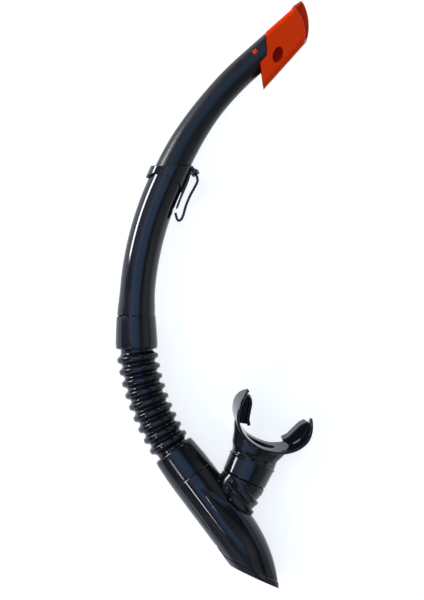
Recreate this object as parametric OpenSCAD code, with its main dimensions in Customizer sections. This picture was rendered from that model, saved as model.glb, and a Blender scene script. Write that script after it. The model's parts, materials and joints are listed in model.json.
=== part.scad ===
// Snorkel with a splash guard, a two-piece curved barrel, a strap keeper, a ribbed
// hose, a purge housing and a swivelling mouthpiece. All sizes are in millimetres.
// It lies flat: +Y runs up the barrel, +X points to the mouthpiece's side and +Z is
// up from the surface it lies on. The origin is under the middle of its box.

/* [Barrel] */
// Radius of the barrel's bend, on its centre line
bend_r = 229; // [200:1:300]
// Lean of the barrel's foot from +Y, degrees
foot_lean = 3; // [0:0.5:6]
// Length of the flared foot above the hose
foot_len = 13; // [8:0.5:24]
// Widening of the barrel at its foot, on each side
foot_flare = 1; // [0.6:0.1:2]
// Turn of the lower barrel, degrees
lower_turn = 20.5; // [16:0.5:26]
// Diameter of the lower barrel
lower_d = 26; // [25:0.1:27]
// Wall of the lower barrel
lower_wall = 2.2; // [1.8:0.1:2.4]
// Length of the straight land that carries the keeper
land_len = 12; // [10:0.5:20]
// Turn of the upper barrel, degrees
upper_turn = 25; // [20:0.5:30]
// Diameter of the upper barrel at the keeper
upper_d = 23.8; // [23:0.1:24.4]
// Diameter of the upper barrel at the splash guard
top_d = 20; // [19:0.1:21]
// Wall of the upper barrel
upper_wall = 1.8; // [1.4:0.1:2.2]
// Length of the straight socket under the splash guard
socket_len = 18; // [16:0.5:26]
// Length of the spigot that joins the two barrels
joint_len = 14; // [8:0.5:20]

/* [Splash guard] */
// Thickness of the guard across its flat sides
guard_t = 21.6; // [21.4:0.1:24]
// Length of the guard's top edge past the barrel
guard_len = 39.5; // [34:0.5:48]
// Width of the guard level with the barrel's end
guard_w = 27.8; // [26:0.1:32]
// Flare of the guard's lower edge towards the skirt, degrees
guard_flare = 6.7; // [3:0.1:9]
// Length of the drain skirt behind the barrel's end
skirt_len = 20.5; // [16:0.5:26]
// Wall of the guard
guard_wall = 1.6; // [1.2:0.1:1.7]
// Radius of the guard's long edges
guard_edge_r = 3.5; // [2.5:0.1:5]
// Radius of the curved mouth
mouth_r = 39.6; // [36:0.1:46]
// Tilt of the mouth towards the front, degrees
mouth_tilt = 13; // [0:1:18]
// Slant of the barrel's end, degrees
end_slant = 37; // [25:1:42]
// Length of the plug inside the barrel
plug_len = 15; // [10:0.5:17]
// Wall of the plug
plug_wall = 1.3; // [1:0.1:1.8]
// Length of the oval vent in the upper side
vent_len = 12.2; // [8:0.1:14]
// Width of the oval vent in the upper side
vent_w = 7.2; // [4:0.1:8]
// Side of the square snap nubs
nub_side = 4; // [3:0.1:5]

/* [Keeper] */
// Wall of the collar over the land
collar_wall = 1.3; // [1.1:0.05:1.8]
// Height of the collar on its low side
collar_h = 8.6; // [6:0.1:10]
// Slant of the collar's top edge, degrees
collar_slant = 23; // [15:1:28]
// Length of the finger below the collar's joint
finger_len = 19; // [15:0.5:24]
// Thickness of the finger
finger_t = 1.7; // [1.3:0.1:2.2]
// Width of the finger and the clip
strap_clip_w = 9; // [7:0.5:12]
// Clear width of the strap slot
slot_gap = 5.8; // [5.6:0.1:7.5]
// Clear length of the strap slot
slot_len = 31; // [25:0.5:34]
// Thickness of the clip's strip
clip_t = 1.7; // [1.2:0.1:2.2]
// Radius of the bead that the clip turns on
bead_r = 1.6; // [1.4:0.1:1.8]

/* [Hose] */
// Number of ribs
rib_count = 9; // [7:1:11]
// Distance from rib to rib
rib_pitch = 8.45; // [8:0.05:9]
// Diameter over the ribs
rib_d = 30.2; // [29.4:0.1:32]
// Diameter in the valleys
valley_d = 24.6; // [24:0.1:26]
// Bore between the cuffs
hose_bore = 20.6; // [19:0.1:21]
// Lean of the hose from straight down where it starts, degrees
hose_lean = 1; // [0:0.5:3]
// Turn of the ribbed stretch, degrees
hose_turn = 36; // [24:1:44]
// Length of the upper cuff
upper_cuff_len = 24.4; // [22:0.1:30]
// Diameter of the upper cuff at its lower end
upper_cuff_d = 30.6; // [30:0.1:32]
// Length of the lower cuff
lower_cuff_len = 27.4; // [25:0.1:32]
// Diameter of the lower cuff where it meets the ribs
lower_cuff_d = 31.2; // [31:0.1:34]
// Wall of the two spigots inside the cuffs
spigot_wall = 2; // [1.6:0.1:2.2]

/* [Housing] */
// Diameter of the chamber
chamber_d = 34.6; // [34:0.1:36]
// Wall of the chamber
chamber_wall = 3; // [2.8:0.1:3.2]
// Length from the hose to the tip of the beak
beak_len = 104.4; // [98:0.2:112]
// Distance from the hose to where the beak begins to narrow
beak_start = 48; // [46:0.5:52]
// Distance from the hose to the heel of the slanted bottom
heel_u = 70; // [67:0.5:73]
// Offset of the tip from the chamber's axis
tip_v = 0.7; // [0:0.1:3]
// Depth of the long flutes in the beak
flute_depth = 0.9; // [0.4:0.1:1.2]
// Distance from the hose to where the neck's axis crosses the chamber's
neck_u = 40.3; // [38:0.1:42]
// Angle from the beak's direction to the neck, degrees
neck_angle = 118; // [114:1:122]
// Distance along the neck from the chamber's axis to the swivel
swivel_a = 32.3; // [31.5:0.1:36]

/* [Purge valve] */
// Height of the cover's band
band_h = 4; // [3.8:0.1:5]
// Distance of the valve from the heel along the bottom
port_x = 9.4; // [8.5:0.1:10.5]
// Diameter of the seat
seat_d = 21; // [19:0.1:21.6]
// Thickness of the seat
seat_t = 2; // [1.8:0.1:2.4]
// Diameter of the valve's disc
disc_d = 18.4; // [16.5:0.1:18.8]
// Thickness of the valve's disc
disc_t = 0.9; // [0.7:0.1:1]
// Diameter of the valve's stem
stem_d = 3; // [2.4:0.1:3.4]
// Spokes of the seat
spoke_count = 4; // [3:1:6]
// Thickness of the cover's slotted floor
floor_t = 1.4; // [1.2:0.1:1.5]
// Slots in the cover
slot_count = 5; // [3:1:5]

/* [Neck and swivel] */
// Diameter of the stub that the mouthpiece turns on
stub_d = 26; // [25.4:0.1:26.6]
// Bore of the stub
stub_bore = 19.6; // [18:0.1:20]
// Height of the stub above the swivel seam
stub_rise = 13; // [12:0.1:15]
// Diameter of the ribs round the neck
neck_rib_d = 32.6; // [32:0.1:33.4]
// Diameter of the neck between its ribs
neck_core_d = 29.2; // [28.8:0.1:30]
// Wall of the swivel ring
ring_wall = 1.5; // [1.3:0.1:1.7]
// Thickness of the ring seal
seal_t = 2; // [1.8:0.1:2.2]

/* [Mouthpiece] */
// Diameter of the collar
mouth_collar_d = 32.6; // [32.2:0.1:33.4]
// Height of the collar
mouth_collar_h = 15.2; // [14.6:0.1:18]
// Distance from the swivel seam to where the lip flange is pitched
flange_a = 22; // [21:0.1:26]
// Half the width of the lip flange
flange_half_w = 28.8; // [27:0.1:31]
// Depth of the flange from its back to its widest place
flange_depth = 24; // [22:0.1:26]
// Height of the flange at its middle
flange_mid_h = 23; // [22:0.5:27]
// Height of the flange at its lobes
flange_lobe_h = 29; // [26:0.5:32]
// Thickness of the flange
flange_t = 2.2; // [1.8:0.1:2.6]
// Width of the air slot
air_w = 23; // [18:0.5:25]
// Height of the air slot
air_h = 9; // [7:0.5:11]
// Height of the bite lugs
lug_h = 9.2; // [7:0.1:12]
// Thickness of the bite webs
web_t = 3.2; // [2.4:0.1:4]
// Pitch of the flange towards the front, degrees
flange_pitch = 12; // [0:1:18]
// Turn of the mouthpiece on its swivel as it lies, degrees
mouth_turn = 14; // [0:1:20]

/* [Hidden] */
// Clearance of pieces that slide into each other
fit = 0.1;
// Clearance of pieces that run on each other
run = 0.06;
// Clearance of pieces on different bodies, and of soft faces
clear = 0.3;
// Overlap of cutters and joined blocks
eps = 1;
// Reach of the cutters, larger than any piece
far = 120;
round_sides = 32;
hose_sides = 28;

gloss_black = [0.09, 0.09, 0.11];
satin_black = [0.13, 0.13, 0.15];
rubber_black = [0.11, 0.12, 0.15];
guard_orange = [0.80, 0.25, 0.06];
valve_clear = [0.75, 0.78, 0.80];

// Points and directions in the plane of the barrel, with the hose's seam at [0, 0]
function rise_dir(l) = [sin(l), cos(l)];
function fall_dir(l) = [sin(l), -cos(l)];
function rise_arc(p, r, a, b) = p + r * [cos(a) - cos(b), sin(b) - sin(a)];
function fall_arc(p, r, a, b) = p + r * [cos(a) - cos(b), sin(a) - sin(b)];
function mix(a, b, t) = a + (b - a) * t;
function ease(t) = let (c = min(1, max(0, t))) c * c * (3 - 2 * c);
function flat(lists) = [for (l = lists) each l];
function deep(p) = [p.x, p.y, 0];

land_lean = foot_lean + lower_turn;
top_lean = land_lean + upper_turn;
foot_top = foot_len * rise_dir(foot_lean);
land_foot = rise_arc(foot_top, bend_r, foot_lean, land_lean);
land_top = land_foot + land_len * rise_dir(land_lean);
socket_foot = rise_arc(land_top, bend_r, land_lean, top_lean);
barrel_top = socket_foot + socket_len * rise_dir(top_lean);

house_lean = hose_lean + hose_turn;
hose_arc = rib_count * rib_pitch;
hose_r = hose_arc / (hose_turn * PI / 180);
cuff_end = upper_cuff_len * fall_dir(hose_lean);
ribs_end = fall_arc(cuff_end, hose_r, hose_lean, house_lean);
house_seam = ribs_end + lower_cuff_len * fall_dir(house_lean);
hose_len = upper_cuff_len + hose_arc + lower_cuff_len;
cuff_round = upper_cuff_len - 4;

foot_d = lower_d + 2 * foot_flare;
lower_bore_r = lower_d / 2 - lower_wall;
upper_spigot_r = lower_bore_r - fit;
top_bore_r = top_d / 2 - upper_wall;
plug_r = top_bore_r * cos(180 / round_sides) - fit;
foot_spigot_r = foot_d / 2 - spigot_wall - fit;
foot_spigot_len = upper_cuff_len - 3;
house_spigot_r = 13.1;
house_spigot_len = lower_cuff_len - 4;
chamber_r = chamber_d / 2;
stub_r = stub_d / 2;

// Where a path of the hose is, and how far it has turned, at a length s from the seam
function hose_turned(s) =
    hose_lean + hose_turn * min(1, max(0, (s - upper_cuff_len) / hose_arc));
function hose_point(s) =
    s < upper_cuff_len ? s * fall_dir(hose_lean)
    : s < upper_cuff_len + hose_arc ? fall_arc(cuff_end, hose_r, hose_lean, hose_turned(s))
    : ribs_end + (s - upper_cuff_len - hose_arc) * fall_dir(house_lean);

// A ring of points round p, square to the direction d in the plane
function ring(p, d, r, n) = [
    for (i = [0:n - 1]) let (t = 360 * i / n)
        [p.x + r * cos(t) * d.y, p.y - r * cos(t) * d.x, r * sin(t)]
];

// A skin over rings of equal count; a closed one joins its last ring to its first
module skin(rings, closed = false) {
    n = len(rings[0]);
    m = len(rings);
    sides = [
        for (i = [0:m - (closed ? 1 : 2)], j = [0:n - 1])
            let (k = (i + 1) % m, l = (j + 1) % n)
            each [[i * n + j, i * n + l, k * n + l], [i * n + j, k * n + l, k * n + j]]
    ];
    first = [for (j = [n - 1:-1:0]) j];
    last = [for (j = [0:n - 1]) (m - 1) * n + j];
    polyhedron(flat(rings), closed ? sides : concat(sides, [first, last]), convexity = 8);
}

// A cylinder from y = from to y = to, and one from x = from to x = to
module rod_y(r, from, to) translate([0, from, 0]) rotate([-90, 0, 0])
    cylinder(r = r, h = to - from, $fn = 64);
module rod_x(r, from, to) translate([from, 0, 0]) rotate([0, 90, 0])
    cylinder(r = r, h = to - from, $fn = 64);
// A block over all x, y above level and all z
module above(level = 0) translate([-far, level, -far]) cube([2 * far, 2 * far, 2 * far]);
module below(level = 0) translate([-far, level - 2 * far, -far]) cube([2 * far, 2 * far, 2 * far]);

// Frames: y runs up the barrel, x to its concave side
module at_foot() rotate(-foot_lean) children();
module at_land() translate(deep(land_top)) rotate(-land_lean) children();
module at_top() translate(deep(barrel_top)) rotate(-top_lean) children();
// Frame of the hose's seam: y runs back up the cuff's axis
module at_seam() rotate(hose_lean) children();
// Frame of the housing: x runs down to the beak, y to the mouthpiece's side
module in_housing() translate(deep(house_seam)) rotate(house_lean - 90) children();
// Frame of the slanted bottom: x runs from the heel to the tip, y into the housing
bottom_angle = atan2(tip_v + chamber_r, beak_len - heel_u);
module in_bottom() in_housing()
    translate([heel_u, -chamber_r, 0]) rotate(bottom_angle) children();
// Frame of the valve: z runs out of the housing, from the parting plane
module at_valve() in_bottom() translate([port_x, band_h, 0]) rotate([90, 0, 0]) children();
// Frame of the neck: x runs from the chamber's axis to the mouthpiece
module in_neck() in_housing() translate([neck_u, 0, 0]) rotate(neck_angle) children();
// Frame of the mouthpiece: x runs from the swivel seam to the lips
module in_mouthpiece() in_neck()
    translate([swivel_a, 0, 0]) rotate([mouth_turn, 0, 0]) children();
module in_flange() in_mouthpiece()
    translate([flange_a, 0, 0]) rotate([0, -flange_pitch, 0]) children();

// Form of the lip flange; the part lies on the chamber or on the flange, whichever is lower
flange_tip_angle = 115;
lobe_angle = 80;
function flange_path(t) = [flange_depth * (1.25 - cos(t)), -flange_half_w * sin(t)];
function flange_half_h(t) =
    let (a = abs(t), end = (a - lobe_angle) / (flange_tip_angle - lobe_angle))
    mix(flange_mid_h, flange_lobe_h, ease(a / lobe_angle)) / 2
    * (a > lobe_angle ? max(0.12, sqrt(1 - end * end)) : 1);
// The section of the flange: a thin upright strip with rounded edges
function flange_section(t) = let (p = flange_path(t), h = flange_half_h(t),
        q = [-flange_half_w * cos(t), -flange_depth * sin(t)], n = q / norm(q), w = flange_t / 2)
    [for (o = [[1, 0.9], [0.5, 1], [-0.5, 1], [-1, 0.9], [-1, -0.9], [-0.5, -1], [0.5, -1], [1, -0.9]])
        [p.x + o[0] * w * n.x, p.y + o[0] * w * n.y, o[1] * h]];
// A point of the flange, pitched, and then as it lies
function pitch(q) = [
    flange_a + q.x * cos(flange_pitch) - q.z * sin(flange_pitch), q.y,
    q.z * cos(flange_pitch) + q.x * sin(flange_pitch)
];
neck_dir = house_lean - 90 + neck_angle;
function lie(q) = let (y = q.y * cos(mouth_turn) - q.z * sin(mouth_turn)) [
    q.x * cos(neck_dir) - y * sin(neck_dir), q.x * sin(neck_dir) + y * cos(neck_dir),
    q.y * sin(mouth_turn) + q.z * cos(mouth_turn)
];
flange_rings = [for (t = [-flange_tip_angle:5:flange_tip_angle]) flange_section(t)];
flange_points = [for (q = flat(flange_rings)) lie(pitch(q))];
rest_z = max(chamber_r, -min([for (q = flange_points) q.z]));

// Middle of the mouth's curve, and how high the mouth is at a place
guard_half = guard_t / 2;
mouth_at = [-18, guard_len - mouth_r];
function mouth_y(x, z) = mouth_at.y - z * tan(mouth_tilt)
    + sqrt(pow(mouth_r, 2) - pow(x - mouth_at.x, 2)) / cos(mouth_tilt);

// Middle of the part's box in the barrel's plane
swivel_point = house_seam + neck_u * fall_dir(house_lean)
    + swivel_a * [cos(neck_dir), sin(neck_dir)];
box_left = hose_point(cuff_round).x - upper_cuff_d / 2;
box_right = swivel_point.x + max([for (q = flange_points) q.x]);
box_low = (house_seam + beak_len * fall_dir(house_lean)
    + tip_v * [cos(house_lean), sin(house_lean)]).y;
box_high = (barrel_top + mouth_y(-top_d / 2, guard_edge_r - guard_half) * rise_dir(top_lean)
    - top_d / 2 * [cos(top_lean), -sin(top_lean)]).y;
module lying()
    translate([-(box_left + box_right) / 2, -(box_low + box_high) / 2, rest_z]) children();

// Splash guard

guard_edge_x = guard_w - top_d / 2;
// The guard's section at a height y: a rounded box drawn in by inset
function guard_ring(y, inset) = let (
        x0 = -top_d / 2 + inset,
        x1 = guard_edge_x - y * tan(guard_flare) - inset,
        z1 = guard_half - inset,
        r = guard_edge_r - inset / 2,
        corners = [[x1 - r, z1 - r, 0], [x0 + r, z1 - r, 90],
            [x0 + r, r - z1, 180], [x1 - r, r - z1, 270]])
    [for (c = corners, a = [0:22.5:90]) [c[0] + r * cos(c[2] + a), y, c[1] + r * sin(c[2] + a)]];
module guard_block(inset)
    skin([guard_ring(-skirt_len - 4, inset), guard_ring(guard_len + 8, inset)]);

// The plane of the barrel's slanted end, raised along the barrel
module past_end(rise) translate([0, rise, 0]) rotate(-end_slant) above();
// Middle of the vent
vent_at = [guard_w * 0.3, 3.4];
vent_angle = 120;
module guard_mouth() translate(mouth_at) rotate([mouth_tilt, 0, 0])
    cylinder(r = mouth_r, h = far, center = true, $fn = 128);
nub_angle = 64;
module nubs(side, r) for (s = [-1, 1]) rotate([0, s * nub_angle, 0])
    translate([-r, -plug_len / 2 - side / 2, -side / 2]) cube([r, side, side]);
// The guard's edge beside the barrel and its drain skirt
module guard_outline() {
    notch_x = top_d * 0.23;
    notch_y = -notch_x * tan(end_slant) + clear;
    linear_extrude(height = far, center = true) polygon([
        [-far, far], [-far, far * tan(end_slant) + clear], [notch_x, notch_y],
        [notch_x + 1.5, -skirt_len / 2], [guard_edge_x + 3, -skirt_len], [far, -skirt_len], [far, far]
    ]);
}
module splash_guard() color(guard_orange) lying() at_top() difference() {
    union() {
        intersection() {
            difference() {
                guard_block(0);
                guard_block(guard_wall);
                rod_y(top_d / 2 + clear, -far / 2, 0);
            }
            guard_outline();
            guard_mouth();
        }
        intersection() {
            rod_y(top_d / 2 - fit, -far / 4, far / 4);
            past_end(clear);
            difference() {
                above(-far);
                past_end(clear + guard_wall);
            }
        }
        intersection() {
            rod_y(plug_r, -plug_len, far / 4);
            difference() {
                above(-far);
                past_end(clear + guard_wall);
            }
        }
        intersection() {
            nubs(nub_side, top_d / 2 - fit);
            rod_y(top_d / 2, -far, far);
        }
    }
    rod_y(plug_r - plug_wall, -far / 2, far / 2);
    translate(vent_at) rotate(vent_angle) linear_extrude(height = far)
        polygon([for (a = [0:15:345]) [vent_len / 2 * cos(a), vent_w / 2 * sin(a)]]);
}

// Barrels

// The bend of the lower barrel, drawn in by inset; the straight stretches lap over its ends
lap = 0.1;
module bend(r) translate(deep(foot_top + bend_r * [cos(foot_lean), -sin(foot_lean)]))
    rotate(180 - land_lean) rotate_extrude(angle = lower_turn, $fn = 180)
        translate([bend_r, 0]) circle(r = r - lap, $fn = 64);
foot_taper = (foot_d - lower_d) / (2 * foot_len);
module foot_cone(below, past) at_foot() translate([0, -below, 0]) rotate([-90, 0, 0]) cylinder(
    r1 = foot_d / 2 + below * foot_taper, r2 = lower_d / 2 - past * foot_taper,
    h = below + foot_len + past, $fn = 64);
module lower_barrel() color(gloss_black) lying() difference() {
    union() {
        bend(lower_d / 2);
        at_land() rod_y(lower_d / 2, -land_len - eps, 0);
        intersection() {
            foot_cone(2, eps);
            at_seam() above(clear / 2);
        }
        at_seam() rod_y(foot_spigot_r, -foot_spigot_len, 3);
    }
    bend(lower_bore_r);
    at_land() rod_y(lower_bore_r, -max(land_len, joint_len) - eps, eps);
    at_foot() rod_y(lower_bore_r, -eps, foot_len + eps);
    at_seam() rod_y(foot_spigot_r - spigot_wall, -foot_spigot_len - eps, 3 + eps);
}

// Radius of the upper barrel at a share t of its bend, less an inset
function upper_r(t, inset) = mix(upper_d, top_d, ease(t / 0.7)) / 2 - inset;
bend_steps = 14;
function upper_rings(inset, past) = concat(
    [for (i = [0:bend_steps]) let (t = i / bend_steps, l = mix(land_lean, top_lean, t))
        ring(rise_arc(land_top, bend_r, land_lean, l), rise_dir(l), upper_r(t, inset), round_sides)],
    [ring(barrel_top + past * rise_dir(top_lean), rise_dir(top_lean), upper_r(1, inset), round_sides)]
);
module upper_barrel() color(satin_black) lying() difference() {
    union() {
        skin(upper_rings(0, top_d));
        at_land() rod_y(upper_spigot_r, -joint_len, 2);
    }
    skin(upper_rings(upper_wall, 2 * top_d));
    at_land() rod_y(upper_spigot_r - upper_wall, -joint_len - eps, 1);
    at_top() past_end(0);
    at_top() nubs(nub_side + 2 * fit, top_d);
}

// Keeper

collar_r = lower_d / 2 + collar_wall;
// Distance of the barrel's concave edge from the land's axis, below the land
function edge_x(y) = lower_d / 2 + (y < -land_len ? pow(y + land_len, 2) / (2 * bend_r) : 0);
slot_x = edge_x(-finger_len) + finger_t + clear + 0.6;
bead_x = collar_r + bead_r + 1;
bead_y = 9.2;
bead_socket_r = bead_r + 1.5;
bead_gap = clip_t + 1.4;
bead_gap_angle = -38;
clip_x = slot_x + slot_gap + clip_t / 2;
hook_y = bead_y - slot_len - 6;
// The collar seen from the front: a slanted top edge and an arched lower edge
module collar_outline() {
    top = function(x) 7.4 + x * tan(collar_slant);
    arch = function(x) -collar_h * 0.8 * pow(x / collar_r, 4) - 1.4;
    reach = collar_r + eps;
    linear_extrude(height = far, center = true) polygon(concat(
        [for (x = [-reach, reach]) [x, top(x)]],
        [for (i = [12:-1:-12]) let (x = reach * i / 12) [x, arch(x)]]));
}
module keeper_ring() color(gloss_black) lying() at_land() difference() {
    union() {
        intersection() {
            rod_y(collar_r, -far / 2, far / 2);
            collar_outline();
        }
        linear_extrude(height = strap_clip_w, center = true) polygon([
            [lower_d / 4, 8], [collar_r - 0.4, 9], [collar_r + 1, 2], [slot_x - 0.4, -land_len],
            [slot_x, -finger_len], [slot_x - finger_t * 0.7, -finger_len - 1.6],
            [slot_x - finger_t, -finger_len], [slot_x - finger_t - 0.8, -land_len], [lower_d / 4, -2]
        ]);
        translate([bead_x, bead_y, 0])
            cylinder(r = bead_socket_r, h = strap_clip_w, center = true, $fn = 48);
    }
    rod_y(lower_d / 2 + run, -far / 2, clear);
    rod_y(upper_d / 2 + 0.8, 0, far / 2);
    translate([bead_x, bead_y, 0]) {
        cylinder(r = bead_r + fit, h = far, center = true, $fn = 48);
        rotate(bead_gap_angle) translate([0, -bead_gap / 2, -far / 2]) cube([far, bead_gap, far]);
    }
}
// The clip's centre line from its bead round to the hook
function clip_route() = [
    [bead_x, bead_y], [bead_x + 2.6, bead_y - 2],
    [clip_x - 0.6, bead_y - 4.6], [clip_x, bead_y - 9],
    [clip_x - 0.3, bead_y - 17], [clip_x + 0.5, bead_y - 25], [clip_x + 1.6, hook_y + 5],
    [clip_x + 0.6, hook_y + 0.8], [clip_x - 1.6, hook_y + 0.6], [slot_x + 1, hook_y + 4.4]
];
// A smooth curve through points, four steps to a stretch
function through(p) = concat(flat([for (i = [0:len(p) - 2])
    let (a = p[max(0, i - 1)], b = p[i], c = p[i + 1], d = p[min(len(p) - 1, i + 2)])
    [for (k = [0:3]) let (t = k / 4)
        (2 * b + (c - a) * t + (2 * a - 5 * b + 4 * c - d) * pow(t, 2)
            + (3 * b - a - 3 * c + d) * pow(t, 3)) / 2]]),
    [p[len(p) - 1]]);
function side_of(p, i, w) = let (d = p[min(len(p) - 1, i + 1)] - p[max(0, i - 1)])
    p[i] + w / norm(d) * [-d.y, d.x];
module strip(p, w) polygon(concat(
    [for (i = [0:len(p) - 1]) side_of(p, i, w / 2)],
    [for (i = [len(p) - 1:-1:0]) side_of(p, i, -w / 2)]));
module keeper_clip() color(gloss_black) lying() at_land() union() {
    linear_extrude(height = strap_clip_w, center = true) strip(through(clip_route()), clip_t);
    translate([bead_x, bead_y, 0]) cylinder(r = bead_r, h = strap_clip_w, center = true, $fn = 48);
}

// Hose

rib_steps = [0, 0.2, 0.36, 0.5, 0.64, 0.8];
function rib_r(t) = mix(valley_d, rib_d, sqrt(max(0, 1 - pow(2 * t - 1, 4)))) / 2;
function hose_ring(s, r) = ring(hose_point(s), fall_dir(hose_turned(s)), r, hose_sides);
side_share = cos(180 / hose_sides);
hose_outer = concat(
    [[0, foot_d / 2 + 0.2], [cuff_round, upper_cuff_d / 2],
        [upper_cuff_len - 1.6, upper_cuff_d / 2 - 0.5], [upper_cuff_len - 0.3, upper_cuff_d / 2 - 2]],
    [for (i = [0:rib_count - 1], t = rib_steps) [upper_cuff_len + (i + t) * rib_pitch, rib_r(t)]],
    [[upper_cuff_len + hose_arc, valley_d / 2], [upper_cuff_len + hose_arc + 0.6, lower_cuff_d / 2 - 1],
        [upper_cuff_len + hose_arc + 2.4, lower_cuff_d / 2], [hose_len - 5, chamber_r - 0.1],
        [hose_len - clear / 2, chamber_r - 0.1]]
);
upper_cuff_r = (foot_spigot_r + clear) / side_share;
lower_cuff_r = (house_spigot_r + clear) / side_share;
hose_inner = concat(
    [[hose_len - clear / 2, lower_cuff_r], [hose_len - house_spigot_len - 0.6, lower_cuff_r],
        [hose_len - house_spigot_len - 1.4, hose_bore / 2]],
    [for (i = [rib_count * 2:-1:0]) [upper_cuff_len + i * rib_pitch / 2, hose_bore / 2]],
    [[foot_spigot_len + 1.4, hose_bore / 2], [foot_spigot_len + 0.6, upper_cuff_r], [0, upper_cuff_r]]
);
module flex_hose() color(rubber_black) lying()
    skin([for (k = concat(hose_outer, hose_inner)) hose_ring(k[0], k[1])], closed = true);

// Housing

// Reach of the beak's section to each side and across, at a distance u from the hose
narrow_r = (pow(beak_len - beak_start, 2) + pow(chamber_r - tip_v, 2))
    / (2 * (chamber_r - tip_v));
function beak_right(u) = u < beak_start ? chamber_r
    : chamber_r - narrow_r + sqrt(max(0, pow(narrow_r, 2) - pow(u - beak_start, 2)));
function beak_half_z(u) = u < beak_start ? chamber_r
    : chamber_r * (1 - pow((u - beak_start) / (beak_len - beak_start + 8), 2.2));
// The two edges of the long flute on the front, and its depth at a point
flute_w = 11.2;
function flute_left(u) = -4 * ease((u - 60) / 30);
function flute_right(u) = let (t = (u - 12) / (beak_len - 16))
    flute_left(u) + flute_w * sin(180 * pow(max(0, min(1, t)), 0.8));
function flute(u, v) = let (a = flute_left(u), b = flute_right(u))
    b - a > 0.5 && v > a && v < b
        ? flute_depth * sin(180 * (v - a) / (b - a)) * min(1, (b - a) / 4) : 0;
beak_sides = 44;
function beak_ring(u) =
    let (r = beak_right(u), mid = (r - chamber_r) / 2, half = (r + chamber_r) / 2)
    [for (i = [0:beak_sides - 1])
        let (t = 360 * i / beak_sides, v = mid - half * cos(t), z = beak_half_z(u) * sin(t))
        [u, v, z - sign(z) * flute(u, v)]];
beak_stations = 22;
module beak_form(from)
    skin([for (i = [0:beak_stations]) beak_ring(mix(from, beak_len + 2, i / beak_stations))]);
latch_top = heel_u - 19;
latch_w = 10;
latch_in = 1.5;
chamber_end = heel_u - 8;
port_r = seat_d / 2 - 2.4;
port_rise = 20;
valve_depth = band_h - floor_t;
slot_w = 1.7;
spoke_w = 1.6;
hub_wall = 1.4;
barb_len = 3;
module lower_housing() color(gloss_black) lying() difference() {
    union() {
        difference() {
            in_housing() beak_form(clear / 2);
            in_bottom() below(band_h);
        }
        in_housing() rod_x(house_spigot_r, -house_spigot_len, eps);
        in_neck() rod_x(stub_r, stub_d / 4, swivel_a + stub_rise);
        in_neck() translate([swivel_a + stub_rise - 1.6, 0, 0]) rotate([0, 90, 0])
            cylinder(r1 = stub_r + 0.5, r2 = stub_r - 0.2, h = 1.6, $fn = 64);
    }
    in_housing() {
        rod_x(house_spigot_r - spigot_wall, -house_spigot_len - eps, chamber_wall + eps);
        rod_x(chamber_r - chamber_wall, chamber_wall, chamber_end);
        translate([latch_top, -2 * chamber_r + latch_in, -latch_w / 2 - clear])
            cube([heel_u - latch_top, chamber_r, latch_w + 2 * clear]);
    }
    in_neck() rod_x(stub_bore / 2, 0, far);
    at_valve() {
        translate([0, 0, -seat_t - run]) cylinder(r = seat_d / 2 + fit / 2, h = far / 4, $fn = 64);
        translate([0, 0, -port_rise]) cylinder(r = port_r, h = port_rise, $fn = 64);
    }
    in_mouthpiece() seal_ring(seal_t / 2 + run, stub_r - seal_t / 2);
    in_mouthpiece() translate([seal_x, 0, 0]) rotate([0, 90, 0]) difference() {
        cylinder(r = stub_r + eps, h = seal_t + 2 * run, center = true, $fn = 64);
        cylinder(r = stub_r - seal_t / 2, h = 2 * seal_t, center = true, $fn = 64);
    }
}
module purge_seat() color(satin_black) lying() at_valve() difference() {
    translate([0, 0, -seat_t]) cylinder(r = seat_d / 2, h = seat_t, $fn = 64);
    translate([0, 0, -seat_t - eps]) {
        cylinder(r = stem_d / 2 + clear, h = seat_t + 2 * eps, $fn = 48);
        difference() {
            cylinder(r = port_r, h = seat_t + 2 * eps, $fn = 64);
            cylinder(r = stem_d / 2 + clear + hub_wall, h = seat_t + 2 * eps, $fn = 48);
            for (i = [0:spoke_count - 1]) rotate(360 * i / spoke_count)
                translate([0, -spoke_w / 2, 0]) cube([seat_d, spoke_w, seat_t + 2 * eps]);
        }
    }
}
module purge_valve() color(valve_clear) lying() at_valve() union() {
    translate([0, 0, run]) cylinder(r = disc_d / 2, h = disc_t, $fn = 64);
    translate([0, 0, -seat_t - barb_len])
        cylinder(r = stem_d / 2, h = seat_t + barb_len + disc_t / 2, $fn = 48);
    translate([0, 0, -seat_t - barb_len - 0.6])
        cylinder(r1 = stem_d / 2 - 0.6, r2 = stem_d / 2 + 0.9, h = barb_len - 1, $fn = 48);
}
module purge_cover() color(gloss_black) lying() difference() {
    union() {
        difference() {
            in_housing() beak_form(heel_u - 20);
            in_bottom() above(band_h);
            in_bottom() below();
        }
        intersection() {
            in_housing() translate([latch_top + clear, -chamber_r + latch_in - 1.2, -latch_w / 2])
                cube([heel_u - latch_top - 4, 1.2 - fit, latch_w]);
            in_bottom() above(floor_t);
        }
    }
    at_valve() cylinder(r = seat_d / 2 - 0.4, h = valve_depth, $fn = 64);
    in_bottom() for (i = [0:slot_count - 1])
        let (z = (2 * i - slot_count + 1) * slot_w, half = sqrt(pow(seat_d / 2 - slot_w, 2) - z * z))
        translate([port_x - half, -eps, z - slot_w / 2]) cube([2 * half, floor_t + 2 * eps, slot_w]);
}

// Neck and swivel

seal_x = stub_rise * 0.6;
module seal_ring(r, at_r) translate([seal_x, 0, 0]) rotate([0, 90, 0])
    rotate_extrude($fn = 64) translate([at_r, 0]) circle(r = r, $fn = 32);
module swivel_seal() color(rubber_black) lying() in_mouthpiece()
    seal_ring(seal_t / 2 - run, stub_r - seal_t / 2 + run / 2);
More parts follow.
